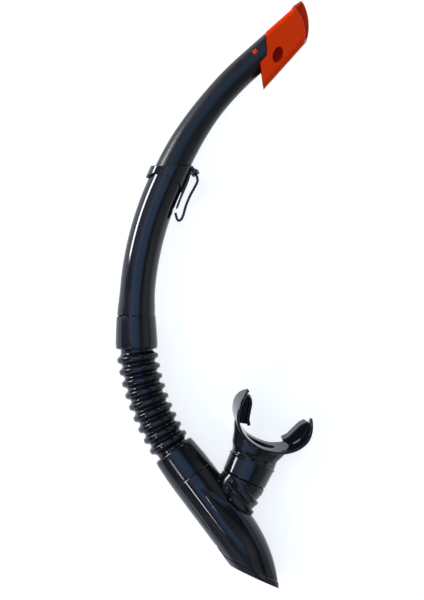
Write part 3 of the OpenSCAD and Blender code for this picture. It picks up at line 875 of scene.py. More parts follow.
    def nubs(self) -> Object:
        """Builds the two snap nubs that stand out through the barrel's wall.

        Returns:
            The nubs, as one piece.
        """
        draft = Draft()
        steps = np.linspace(-1, 1, 11)
        u, v = np.meshgrid(steps, steps)
        lift = self.nub_r - 0.75 * np.maximum(np.abs(u), np.abs(v)) ** 6
        for side in (-1, 1):
            turn = math.radians(180 - side * self.nub_angle) + u * self.nub_half / TOP_R
            y = self.nub_y + self.nub_half * v
            top = np.stack([lift * np.cos(turn), y, lift * np.sin(turn)], axis=-1)
            base = top * np.array([0.93, 1.0, 0.93])
            a, b = draft.rows(top), draft.rows(base)
            draft.weave(a, round_columns=False)
            draft.weave(b[::-1], round_columns=False)
            edges = [np.concatenate([g[0, :-1], g[:-1, -1], g[-1, :0:-1], g[:0:-1, 0]]) for g in (b, a)]
            draft.weave(np.stack(edges))
        return draft.piece("guard_nubs", TOP)

    def build(self) -> None:
        """Builds and dresses the guard."""
        guard = join("guard_hood", [self.hood(), self.plug(), self.nubs()])
        show(guard, ORANGE, "splash_guard", body="barrel")


@dataclass
class Barrels:
    """The two-piece barrel: a satin upper tube in a glossy lower one."""

    sides: int = 128
    lower_r: float = 13.0
    foot_r: float = 14.0
    flare: float = 20.0
    bore_r: float = 10.8
    upper_r: float = 11.9
    wall: float = 1.8
    land: float = FOOT_LEN + LOWER_BEND.length + LAND_LEN

    def foot(self, s: float) -> float:
        """Returns the lower barrel's radius at a length from the seam."""
        return self.lower_r + (self.foot_r - self.lower_r) * (1 - float(ease(s / self.flare)))

    def lower(self) -> Object:
        """Builds the lower barrel with its flared foot.

        Returns:
            The barrel.
        """
        top, r = self.land, self.lower_r
        rows = [(-1.2, 13.2), (0.0, 13.4), (0.04, self.foot(0) - 0.15), (0.25, self.foot(0) - 0.02)]
        rows += [(s, self.foot(s)) for s in np.linspace(1.0, top - 0.8, 70)]
        rows += [(top - 0.3, r - 0.06), (top - 0.08, r - 0.2), (top, r - 0.45), (top, self.bore_r)]
        rows += [(s, self.bore_r) for s in np.linspace(top - 1, -21.0, 60)]
        rows += [(-21.4, 10.0), (-21.4, 11.6), (-21.0, 11.9), (-1.2, 11.9)]
        return Draft().shell(RISE.tube(rows, self.sides)).piece("barrel_lower")

    def width(self, t: float) -> float:
        """Returns the upper barrel's radius at a share of its bend."""
        return self.upper_r + (TOP_R - self.upper_r) * float(ease(t / 0.7))

    def socket_rows(self, inset: float, shares: Sequence[float]) -> np.ndarray:
        """Makes rings of the straight socket, which ends on a slant.

        Args:
            inset: How far they lie inside the outer face.
            shares: Where each ring lies, from 0 at the bend to 1 at the end.

        Returns:
            The rings.
        """
        x, z = ellipse(TOP_R - inset, TOP_R - inset, self.sides).T
        ys = [-SOCKET_LEN + (SOCKET_LEN - x * SLOPE) * share for share in shares]
        return TOP.points(np.array([np.column_stack([x, y, z]) for y in ys]))

    def upper(self) -> Object:
        """Builds the upper barrel with its spigot and slanted end.

        Returns:
            The barrel.
        """
        start = self.land
        bend = [(start + t * UPPER_BEND.length, self.width(t)) for t in np.linspace(0, 1, 60)[:-1]]
        spigot = [(start - 13.8, 10.4), (start - 13.4, 10.7), (start - 0.1, 10.7)]
        inside = [(s, r - self.wall) for s, r in bend[::-1]] + [(start - 13.8, 8.9)]
        rows = [
            RISE.tube(spigot + bend, self.sides),
            self.socket_rows(0.0, (0, 0.2, 0.4, 0.6, 0.8, 0.95, 0.985)),
            self.socket_rows(0.2, (0.997,)),
            self.socket_rows(self.wall, (1.0, 0.5, 0.0)),
            RISE.tube(inside, self.sides),
        ]
        return Draft().shell(np.concatenate(rows)).piece("barrel_upper")

    def build(self) -> None:
        """Builds and dresses both barrels."""
        show(self.lower(), GLOSS, "lower_barrel", body="barrel")
        show(self.upper(), SATIN, "upper_barrel", body="barrel")


@dataclass
class Keeper:
    """The strap keeper: a slanted collar with a finger, and a sprung clip on a bead."""

    collar_r: float = 14.3
    inner_r: float = 13.06
    upper_r: float = 12.75
    slant: float = 23.0
    half_w: float = 4.5
    slot_x: float = 15.707
    gap: float = 5.8
    clip_t: float = 1.9
    clip_len: float = 37.0
    bead: Pair = (16.9, 9.2)
    bead_r: float = 2.2
    socket_r: float = 3.1
    socket_arc: Pair = (4.0, 291.0)

    def collar(self) -> Object:
        """Builds the collar with its slanted top and arched lower edge.

        Returns:
            The collar.
        """
        sides, rows = 112, 10
        c, s = ellipse(1.0, 1.0, sides).T
        top = 7.4 + self.collar_r * c * math.tan(math.radians(self.slant))
        low = -6.9 * c**4 - 1.4
        bulge = 0.9 * ease((-c - 0.55) / 0.35)
        heights = [low + (top - low) * share for share in np.linspace(0, 1, rows)]
        outside = [(self.collar_r + bulge, y) for y in heights]
        inside = list(zip([self.inner_r] * 6 + [self.upper_r] * 4, heights))[::-1]
        grid = np.array([np.column_stack([r * c, y, r * s]) for r, y in outside + inside])
        return soften(Draft().shell(grid).piece("collar", LAND), 0.45)

    def finger(self) -> Object:
        """Builds the finger beside the barrel.

        Returns:
            The finger.
        """
        x = self.slot_x
        outline = closed(
            [
                (13.2, 5.0, 0), (12.9, 12.7, 0.6), (16.2, 12.3, 1.2), (14.2, 8.6, 1.6), (15.3, 2.0, 3.0),
                (x - 0.4, -12.0, 2.0), (x, -18.6, 1.0), (x - 0.5, -20.4, 0.9), (x - 1.3, -20.5, 0.9),
                (x - 1.7, -18.6, 1.0), (x - 2.0, -12.0, 2.0), (13.3, -3.0, 1.0),
            ]
        )
        return soften(extrusion("finger", outline, self.half_w, LAND), 0.35)

    def socket(self) -> Object:
        """Builds the open socket round the bead.

        Returns:
            The socket.
        """
        a = np.linspace(*np.radians(self.socket_arc), 40)
        arc = np.column_stack([np.cos(a), np.sin(a)])
        outline = np.concatenate([self.socket_r * arc, (self.bead_r + 0.1) * arc[::-1]])
        return soften(extrusion("socket", outline, self.half_w, LAND.moved(*self.bead)), 0.3)

    def clip(self) -> Object:
        """Builds the clip: a bent strip with a hook, on a bead.

        Returns:
            The clip.
        """
        x, (bx, by) = self.slot_x + self.gap + self.clip_t / 2, self.bead
        hook = by - self.clip_len
        route = through(
            [
                (bx, by), (bx + 2.5, by - 2), (x - 1.5, by - 4.8), (x - 1.5, by - 9), (x - 2.2, by - 17),
                (x - 2.0, by - 25), (x - 1.1, hook + 5), (x - 1.5, hook + 1.2), (x - 3.6, hook + 0.4),
                (self.slot_x - 0.4, hook + 4.5),
            ],
            8,
        )
        along = np.gradient(route, axis=0)
        along /= np.linalg.norm(along, axis=1)[:, None]
        side = np.column_stack([-along[:, 1], along[:, 0]]) * self.clip_t / 2
        outline = np.concatenate([route + side, (route - side)[::-1]])
        strip = soften(extrusion("strip", outline, self.half_w, LAND), 0.65, segments=4)
        disc = ellipse(self.bead_r, self.bead_r, 40)
        bead = soften(extrusion("bead", disc, self.half_w, LAND.moved(bx, by)), 0.3)
        return join("keeper_strip", [strip, bead])

    def build(self) -> None:
        """Builds and dresses the keeper."""
        band = join("keeper_band", [self.collar(), self.finger(), self.socket()])
        show(band, GLOSS, "keeper_ring", body="keeper")
        show(self.clip(), GLOSS, "keeper_clip", body="clip")


@dataclass
class Hose:
    """The ribbed rubber hose between its two cuffs, in two halves along a bend."""

    INPUTS: ClassVar[dict[str, tuple[str, ...]]] = {
        "NodeSocketFloat": (
            "Bend Radius", "Start Angle", "Sweep Angle", "Rib Pitch", "First Rib",
            "Crest Radius", "Valley Radius", "Bore Radius",
        ),
        "NodeSocketInt": ("Stations", "Sides"),
        "NodeSocketVector": ("Middle",),
        "NodeSocketMaterial": ("Material",),
    }

    lean: float = 1.0
    turn: float = 36.0
    ribs: int = 9
    pitch: float = 8.45
    crest_r: float = 15.3
    valley_r: float = 11.9
    bore_r: float = 10.3
    upper_len: float = 24.4
    lower_len: float = 27.4
    sides: int = 96
    stations: int = 150
    slack: float = 4.5  # degrees that the ribbed bend starts off each cuff
    extra: float = 3.6  # length that the ribbed bend adds to its ribs
    plain: float = 2.2  # length without ribs at each of its ends
    rib_share: float = 0.6
    rib_power: float = 4.5
    path: Path = field(init=False)
    bend_r: float = field(init=False)
    bend_lean: float = field(init=False)
    rib_turn: float = field(init=False)
    rib_pitch: float = field(init=False)
    first_rib: float = field(init=False)

    def __post_init__(self) -> None:
        """Sets out the path of the cuffs and the flatter bend of the ribs between them."""
        arc = self.ribs * self.pitch
        stretches = (Stretch(self.upper_len), Stretch(arc, self.turn), Stretch(self.lower_len))
        self.path = Path(SEAM, self.lean, -1, stretches)
        self.rib_turn = math.radians(self.turn - 2 * self.slack)
        chord = self.path.at(self.upper_len + arc + self.extra)[0] - self.path.at(self.upper_len)[0]
        self.bend_lean = math.atan2(chord[0], -chord[1]) - self.rib_turn / 2
        self.bend_r = float(np.linalg.norm(chord)) / 2 / math.sin(self.rib_turn / 2)
        length = self.bend_r * self.rib_turn
        self.rib_pitch = (length - 2 * self.plain) / self.ribs
        self.first_rib = -self.plain / self.rib_pitch

    def tree(self) -> Tree:
        """Builds the node tree of a ribbed stretch that follows an arc.

        Returns:
            The tree.
        """
        tree = bpy.data.node_groups.new("ribbed_stretch", "GeometryNodeTree")
        for kind, names in self.INPUTS.items():
            for name in names:
                tree.interface.new_socket(name, in_out="INPUT", socket_type=kind)
        tree.interface.new_socket("Geometry", in_out="OUTPUT", socket_type="NodeSocketGeometry")
        wires = Wires(tree)
        calc = wires.calc
        given = wires.add("NodeGroupInput").outputs
        bend = {"Resolution": given["Stations"], "Radius": given["Bend Radius"]}
        bend |= {name: given[name] for name in ("Start Angle", "Sweep Angle")}
        arc = wires.add("GeometryNodeCurveArc", bend).outputs["Curve"]
        along = wires.add("GeometryNodeSplineParameter").outputs["Length"]
        turns = calc("ADD", calc("DIVIDE", along, given["Rib Pitch"]), given["First Rib"])
        place = calc("SUBTRACT", calc("MULTIPLY", calc("FRACT", turns), 2.0), 1.0)
        spread = calc("POWER", calc("DIVIDE", calc("ABSOLUTE", place), self.rib_share), self.rib_power)
        within = calc("MULTIPLY", calc("GREATER_THAN", turns, 0.0), calc("LESS_THAN", turns, self.ribs))
        bulge = calc("DIVIDE", within, calc("ADD", spread, 1.0))
        depth = calc("SUBTRACT", given["Crest Radius"], given["Valley Radius"])
        radius = calc("ADD", calc("MULTIPLY", depth, bulge), given["Valley Radius"])
        unit = {"Resolution": given["Sides"], "Radius": 1.0}
        circle = wires.add("GeometryNodeCurvePrimitiveCircle", unit).outputs["Curve"]

        def sweep(size: Socket) -> Socket:
            """Sweeps the circle along the arc with a radius and returns the mesh."""
            inputs = {"Curve": arc, "Profile Curve": circle, "Scale": size}
            return wires.add("GeometryNodeCurveToMesh", inputs).outputs["Mesh"]

        inside = wires.add("GeometryNodeFlipFaces", {"Mesh": sweep(given["Bore Radius"])})
        shape = wires.add("GeometryNodeJoinGeometry", {"Geometry": sweep(radius)})
        wires.fill(shape, {"Geometry": inside.outputs["Mesh"]})
        for kind, more in (
            ("GeometryNodeTransform", {"Translation": given["Middle"]}),
            ("GeometryNodeSetShadeSmooth", {}),
            ("GeometryNodeRealizeInstances", {}),
            ("GeometryNodeSetMaterial", {"Material": given["Material"]}),
            ("NodeGroupOutput", {}),
        ):
            shape = wires.add(kind, {"Geometry": shape.outputs["Geometry"], **more})
        return tree

    def stretch(self, tree: Tree, name: str, half: int) -> Object:
        """Makes one half of the ribbed stretch.

        Args:
            tree: The node tree.
            name: Name of the piece.
            half: 0 for the upper half, 1 for the lower.

        Returns:
            The piece, as a plain mesh.
        """
        start, lean = self.path.at(self.upper_len)[0], self.bend_lean
        middle = start + self.bend_r * np.array([math.cos(lean), math.sin(lean), 0.0])
        sweep = self.rib_turn / 2
        values = {
            "Bend Radius": self.bend_r * MM,
            "Start Angle": math.pi + lean + half * sweep,
            "Sweep Angle": sweep,
            "Rib Pitch": self.rib_pitch * MM,
            "First Rib": self.first_rib + half * self.bend_r * sweep / self.rib_pitch,
            "Crest Radius": self.crest_r * MM,
            "Valley Radius": self.valley_r * MM,
            "Bore Radius": self.bore_r * MM,
            "Stations": self.stations,
            "Sides": self.sides,
            "Middle": tuple(middle * MM),
            "Material": RUBBER.material(),
        }
        obj = bpy.data.objects.new(name, bpy.data.meshes.new(name))
        bpy.context.collection.objects.link(obj)
        modifier = obj.modifiers.new("ribs", "NODES")
        modifier.node_group = tree
        for item in tree.interface.items_tree:
            if item.in_out == "INPUT" and item.name in values:
                modifier[item.identifier] = values[item.name]
        return settle(obj)

    def cuff(self, name: str, corners: Sequence[Triple]) -> Object:
        """Returns a cuff, made from the corners of its profile as (length, radius, rounding)."""
        return Draft().shell(self.path.tube(closed(corners, 6), self.sides)).piece(name)

    def build(self) -> None:
        """Builds and dresses the hose, and bakes its two halves in place."""
        end = self.upper_len
        upper = [
            (2.0, 12.4, 0), (0.05, 12.4, 0.1), (0.05, 14.4, 0.15), (9.0, 15.0, 4.0), (end - 5, 15.5, 3.0),
            (end - 0.3, 15.3, 2.6), (end + 0.2, 11.7, 0.5), (end + 2.4, 11.7, 0.2), (end + 2.4, 10.3, 0.2),
            (end - 2.5, 10.3, 0.3), (end - 3, 12.4, 0.2),
        ]
        first = self.upper_len + self.ribs * self.pitch + self.extra
        last = self.path.length - 0.15
        lower = [
            (last - 3, 13.4, 0), (last - 23, 13.4, 0.2), (first + 2, 10.3, 0.3), (first - 2.4, 10.3, 0.2),
            (first - 2.4, 11.7, 0.2), (first - 0.2, 11.7, 0.4), (first + 0.3, 15.9, 1.8),
            (first + 4, 16.3, 2.0), (last - 6, 17.2, 4.0), (last, 17.2, 0.5), (last, 13.4, 0.2),
        ]
        tree = self.tree()
        start, stop = self.path.at(end)[0], self.path.at(first)[0]
        top = join("hose_upper", [self.stretch(tree, "ribs_upper", 0), self.cuff("cuff_upper", upper)])
        low = join("hose_lower", [self.stretch(tree, "ribs_lower", 1), self.cuff("cuff_lower", lower)])
        show(top, RUBBER, "flex_hose")
        show(low, RUBBER, "flex_hose")
        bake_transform(top)
        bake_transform(low)


@dataclass
class Housing:
    """The purge housing with its fluted beak, latch and slotted cover, and the ribbed neck."""

    narrow_u: float = 48.0
    band: float = 4.0
    flute_depth: float = 1.35
    ridges: Pair = (0.34, 0.2)  # height along the left and the right crease
    sides: int = 300
    stations: int = 130
    left_crease: tuple[Pair, ...] = (
        (5.3, -3.8), (12.7, -0.6), (24.0, -0.4), (38.3, -0.5), (64.4, 0.5), (82.7, -4.1), (97.0, -2.6),
    )
    right_crease: tuple[Pair, ...] = (
        (8.0, -2.0), (15.5, 2.9), (26.0, 8.0), (38.7, 10.7), (57.8, 10.1), (76.0, 6.8), (93.6, -0.4),
        (97.0, -2.4),
    )
    core_r: float = 14.3
    rib_r: float = 16.9
    rib_lines: tuple[Pair, ...] = ((30.2, 0.19), (27.9, 0.457), (20.5, 0.455))  # middle and slope
    rib_w: float = 2.0
    ramp: float = 6.5
    flatten: float = 0.2
    widen: float = 0.07
    slots: int = 5
    slot_w: float = 1.7
    port_x: float = 9.4
    chamber_r: float = 10.1
    floor_t: float = 1.4
    proud: float = 0.4
    seam: float = 0.1
    ridge_w: float = 0.55
    step: Pair = (0.35, -8.0)  # depth and edge
    groove: Triple = (0.3, -13.5, 0.5)  # depth, middle and half width

    def reach(self, u: float) -> Pair:
        """Finds how far the beak reaches.

        Args:
            u: Distance from the hose.

        Returns:
            Its reach to the right, and its half height.
        """
        if u < self.narrow_u:
            return CHAMBER_R, CHAMBER_R
        span, drop = TIP_U - self.narrow_u, CHAMBER_R - TIP_V
        r = (span**2 + drop**2) / (2 * drop)
        right = CHAMBER_R - r + math.sqrt(max(0.0, r**2 - (u - self.narrow_u) ** 2))
        return right, CHAMBER_R * (1 - ((u - self.narrow_u) / (span + 8)) ** 2.2)

    def relief(self, u: float, v: np.ndarray) -> np.ndarray:
        """Finds how deep the surface lies below the plain form.

        Args:
            u: Distance from the hose.
            v: Places across the beak.

        Returns:
            The depth at each place.
        """
        left, right = (np.interp(u, *through(line, 8).T) for line in (self.left_crease, self.right_crease))
        deep = np.zeros_like(v)
        width = right - left
        if self.left_crease[0][0] < u < self.left_crease[-1][0] and width > 0.2:
            q = np.clip((v - left) / width, 0, 1)
            deep += self.flute_depth * min(1.0, width / 6.0) * np.sin(np.pi * q) ** 0.85
            for crease, lift in zip((left, right), self.ridges):
                deep -= lift * min(1.0, width / 5.0) * np.exp(-(((v - crease) / self.ridge_w) ** 2))
        depth, edge = self.step
        line = float(ease((u - 27) / 6) * ease((82 - u) / 8))
        deep += depth * line * ease((edge - v) / 0.9) * ease((v + 15.5) / 4)
        depth, middle, half = self.groove
        line = float(ease((u - 13) / 3) * ease((40 - u) / 4))
        return deep + depth * line * np.exp(-(((v - middle) / half) ** 2))

    def beak(self, name: str, start: float, proud: float = 0.0) -> Object:
        """Builds the beak as one solid that runs past its tip.

        Args:
            name: Name of the piece.
            start: Distance of its first ring from the hose.
            proud: How far it stands out from the plain form.

        Returns:
            The solid.
        """
        lip = {-1.0: 0.9, -0.05: 0.7, 0.05: 0.2, 0.3: 0.0} if start < 1 else {start: 0.0}
        stations = np.concatenate([list(lip), np.linspace(start + 1.0, TIP_U + 1.5, self.stations)])
        t = np.arange(self.sides) * TURN / self.sides
        rings = []
        for u in stations:
            right, half_z = self.reach(float(u))
            mid, half = (right - CHAMBER_R) / 2, (right + CHAMBER_R) / 2
            shrink = lip.get(float(u), 0.0) - proud
            v, z = mid - (half - shrink) * np.cos(t), (half_z - shrink) * np.sin(t)
            z = z - np.sign(z) * self.relief(float(u), v) * np.minimum(1.0, np.abs(z) / 4.0)
            rings.append(np.column_stack([np.full(self.sides, u), v, z]))
        return Draft().solid(np.array(rings)).piece(name, HOUSING)

    def shell(self) -> Object:
        """Builds the housing above the band, with the latch's notch.

        Returns:
            The housing.
        """
        body = halve(self.beak("housing_body", 0.0), BOTTOM.moved(0, self.band + self.seam), True)
        left, right, top = 51.0, HEEL_U + 2, -15.8
        notch = [(left, -30), (right, -30), (right, top), (left, top)]
        return soften(cut(body, extrusion("notch", notch, 5.3, HOUSING)), 0.28, 35.0)

    def cover(self) -> Object:
        """Builds the cover: the band, its slotted floor and the latch's tongue.

        Returns:
            The cover.
        """
        band = self.beak("purge_band", HEEL_U - 20, self.proud)
        halve(band, BOTTOM.moved(0, self.band - self.seam), False)
        halve(band, BOTTOM, True)
        depth = (self.band - self.floor_t) / 2
        well = BOTTOM.moved(self.port_x, self.floor_t + depth + 0.5).spun(90, "X")
        cut(band, extrusion("well", ellipse(self.chamber_r, self.chamber_r, 64), depth + 0.5, well))
        for i in range(self.slots):
            z = (2 * i - self.slots + 1) * self.slot_w
            half = math.sqrt((self.chamber_r - self.slot_w) ** 2 - z**2)
            left, right = self.port_x - half, self.port_x + half
            outline = [(left, -2), (right, -2), (right, 3), (left, 3)]
            cut(band, extrusion("slot", outline, self.slot_w / 2, BOTTOM.moved(0, 0, z)))
        soften(band, 0.28, 35.0)
        tongue = closed(
            [
                (60, -15.9, 0), (51.6, -15.9, 0.2), (51.6, -16.7, 0.5), (55.0, -17.1, 1.0),
                (68.5, -17.1, 0.6), (72.0, -16.4, 0.6), (72.0, -15.9, 0.2),
            ]
        )
        latch = soften(extrusion("tongue", tongue, 4.9, HOUSING), 0.25)
        return join("purge_band", [band, latch])

    def pocket(self, a: float, w: np.ndarray, number: int) -> np.ndarray:
        """Returns how far places w at a station a lie inside the pocket below one of the neck's ribs.

        Args:
            a: Distance along the neck.
            w: Places across the neck.
            number: Which rib, from the top; the first is the rim.

        Returns:
            The distance to the pocket's nearest edge, negative outside it.
        """
        middle, slope = self.rib_lines[number]
        half = self.rib_w / 2 if number else 0.0
        above = middle + slope * w - half - a
        if number + 1 == len(self.rib_lines):
            return above
        middle, slope = self.rib_lines[number + 1]
        return np.minimum(above, a - (middle + slope * w + self.rib_w / 2))

    def neck(self) -> Object:
        """Builds the rubber neck with its slanted ribs and the pockets between them.

        Returns:
            The neck.
        """
        sides, rows = 200, 90
        c, s = ellipse(1.0, 1.0, sides).T
        grid = []
        top = SWIVEL_A - 0.3
        edge = [top - 0.25, top - 0.06, top, top + 0.55]
        stations = np.concatenate([np.linspace(4.0, top - 0.6, rows), edge])
        rim = {rows: 0.06, rows + 1: 0.25, rows + 2: 0.6, rows + 3: 1.2}
        w = self.rib_r * c
        for station, a in enumerate(stations):
            deep = np.zeros_like(w)
            for number, (middle, slope) in enumerate(self.rib_lines):
                floor = np.clip((middle + slope * w - a) / self.ramp, 0.3, 1.0)
                deep = np.maximum(deep, ease(self.pocket(a, w, number) / 0.9) * floor)
            deep = deep * ease((10.5 - w) / 3.0)
            r = self.rib_r - (self.rib_r - self.core_r) * deep - rim.get(station, 0.0)
            flat = 1 - self.flatten * ease((top - 8 - a) / 16)
            side = 1 + self.widen * ease((c - 0.2) / 0.7) * ease((top - a) / 7)
            grid.append(np.column_stack([np.full(sides, a), side * r * c, flat * r * s]))
        return Draft().solid(np.array(grid)).piece("neck_ribs", NECK)

    def build(self) -> None:
        """Builds and dresses the housing."""
        show(self.shell(), GLOSS, "lower_housing", body="housing")
        show(self.cover(), GLOSS, "purge_cover", body="housing")
        show(self.neck(), RUBBER, "neck_sleeve", body="housing")


@dataclass
class Mouthpiece:
    """The rubber mouthpiece: collar, flared neck, lip flange and two bite tabs."""

    collar_r: float = 16.9
    collar_h: float = 15.2
    half_w: float = 28.8
    depth: float = 24.0
    mid_h: float = 23.0
    lobe_h: float = 27.0
    thick: float = 2.2
    tip: float = 115.0
    lobe: float = 80.0
    air: Pair = (11.5, 4.5)
    # Of each ring its place along the flange's frame, its width and its height.
    air_rings: tuple[Triple, ...] = ((-0.6, 0.4, 0.8), (0.3, 0.4, 0.8), (0.9, 0.2, 0.3), (2.4, 1.0, 1.4))
    neck_rings: tuple[Triple, ...] = (
        (0.0, 0.645, 2.2), (0.6, 0.69, 1.0), (1.3, 0.745, 0.2), (2.2, 0.835, -0.4), (2.8, 0.88, -0.8),
    )
    voxel: float = 0.38
    sides: int = 96

    def flange_half(self, t: float) -> float:
        """Finds the flange's half height.

        Args:
            t: Angle round its U, in degrees.

        Returns:
            The half height there.
        """
        a = abs(t)
        half = (self.mid_h + (self.lobe_h - self.mid_h) * float(ease(a / self.lobe))) / 2
        if a > self.lobe:
            half *= max(0.12, (1 - ((a - self.lobe) / (self.tip - self.lobe)) ** 1.6) ** 0.75)
        return half

    def flange(self) -> Object:
        """Builds the lip flange as a swept strip with a rounded rim.

        Returns:
            The flange.
        """
        around = ellipse(1.0, 1.0, 36)
        rings = []
        for t in np.linspace(-self.tip, self.tip, 93):
            c, s = math.cos(math.radians(t)), math.sin(math.radians(t))
            p = np.array([self.depth * (1.25 - c), -self.half_w * s])
            n = np.array([-self.half_w * c, -self.depth * s])
            n /= np.linalg.norm(n)
            h = self.flange_half(float(t))
            ring = []
            for across, up in around:
                z = h * math.copysign(abs(up) ** 0.32, up)
                bead = 1.0 + 0.16 * float(ease((abs(z) / h - 0.72) / 0.2))
                w = self.thick / 2 * bead * math.copysign(abs(across) ** 0.5, across)
                ring.append((*(p + w * n), z))
            rings.append(ring)
        return Draft().solid(np.array(rings)).piece("flange", FLANGE)

    def oval(self, place: Place, a: float, w: float, h: float) -> np.ndarray:
        """Makes an oval ring across a frame.

        Args:
            place: The frame.
            a: Distance along its x axis.
            w: Half the ring's width.
            h: Half its height.

        Returns:
            The ring, in the snorkel's frame.
        """
        return place.points(np.column_stack([np.full(self.sides, a), ellipse(-w, h, self.sides)]))

    def loft(self, name: str, rings: Sequence[np.ndarray], steps: int) -> Object:
        """Makes a smooth solid through rings.

        Args:
            name: Name of the piece.
            rings: The rings, in the snorkel's frame.
            steps: Steps from one ring to the next.

        Returns:
            The solid.
        """
        out = through(np.array(rings).reshape(len(rings), -1), steps)
        return Draft().solid(out.reshape(len(out), -1, 3)).piece(name)

    def collar(self) -> Object:
        """Builds the collar with the ridge at its top.

        Returns:
            The collar.
        """
        r, end, thin = self.collar_r, self.collar_h, 0.05
        profile = rounded(
            [
                (0.3, 0.0, 0), (0.3, r, 0.5), (end - 1.6, r + 0.6, 0.4), (end - 1.0, r + 1.3, 0.3),
                (end, r + 1.3, 0.3), (end + 0.5, r - 0.6, 0.2), (end + 3, 0.0, 0),
            ],
            4,
        )
        rings = [self.oval(MOUTH, a, max(q, thin), max(min(q, r + 0.2), thin)) for a, q in profile]
        return Draft().solid(np.array(rings)).piece("collar")

    def neck(self) -> Object:
        """Builds the flaring neck, takes the mouth's hollow out of it and adds the collar.

        Returns:
            The neck and the collar.
        """
        collar = self.collar()
        top = self.collar_r - 0.6
        back, h = self.depth * 0.25, self.mid_h / 2
        rings = [
            self.oval(MOUTH, self.collar_h - 3, top + 0.6, top),
            self.oval(MOUTH, self.collar_h + 2, top + 1.0, top - 0.8),
        ]
        for share, wide, tall in self.neck_rings:
            rings.append(self.oval(FLANGE, back * share, self.half_w * wide, h + tall))
        neck = self.loft("neck", rings, 6)
        t = np.radians(np.linspace(-self.tip, self.tip, 60))
        depth, width = self.depth - self.thick / 2, self.half_w - self.thick / 2
        hollow = np.column_stack([self.depth * 1.25 - depth * np.cos(t), -width * np.sin(t)])
        cut(neck, extrusion("hollow", hollow, 60.0, FLANGE))
        return join("neck", [neck, collar])

    def airway(self) -> Object:
        """Builds the solid that the air slot is cut with.

        Returns:
            The solid.
        """
        w, h = self.air
        back = self.depth * 0.25
        rings = []
        for share, wide, tall in self.air_rings:
            rings.append(self.oval(FLANGE, back * share, w + wide, h + tall))
        return self.loft("airway", rings, 3)

    def tabs(self) -> Object:
        """Builds the two bite tabs: a web with a raised lug on its inner edge.

        Returns:
            The tabs, as one piece.
        """
        edge = [(17.4, 13), (21.3, 16.1), (33, 19.8)]
        web = [(15, 20.7), *edge, (37.5, 23), (36, 26.8), (28, 28.2), (20, 23.6)]
        lug = [(16, 15.2), *edge, (37, 22.6), (36.2, 24.6), (32.2, 22.2), (20.3, 18.4)]
        parts = []
        for side in (-1, 1):
            for outline, half in ((web, 1.6), (lug, 4.6)):
                smooth = rounded([(x, side * y, 1.2) for x, y in outline + outline[:2]], 4)[1:-1]
                parts.append(extrusion("tab", smooth, half, FLANGE))
        return join("tabs", parts)

    def build(self) -> None:
        """Builds, remeshes, smooths and dresses the mouthpiece."""
        airway = self.airway()
        flange = cut(self.flange(), airway, keep=True)
        body = join("mouth_lips", [self.neck(), flange, self.tabs()])
        remesh = body.modifiers.new("rubber", "REMESH")
        remesh.mode = "VOXEL"
        remesh.voxel_size = self.voxel * MM
        settle(body)
        cut(body, airway)
        smooth = body.modifiers.new("soft", "SMOOTH")
        smooth.factor = 0.5
        smooth.iterations = 5
        settle(body)
        shade_smooth(body.data)
        show(body, RUBBER, "mouthpiece", body="mouthpiece")


class InnerPieces:
    """The inner CAD pieces that keep their shape and get their finish."""

    FINISHES: ClassVar[dict[str, Finish]] = {
        "purge_seat": SATIN,
        "purge_valve": SILICONE,
        "swivel_ring": SATIN,
        "swivel_seal": RUBBER,
    }

    def build(self, nodes: dict[str, Object]) -> None:
        """Dresses each inner piece.

        Args:
            nodes: The CAD nodes by name.
        """
        for name, finish in self.FINISHES.items():
            finish.dress(nodes[name])
            LOG.info("%s keeps its shape", name)


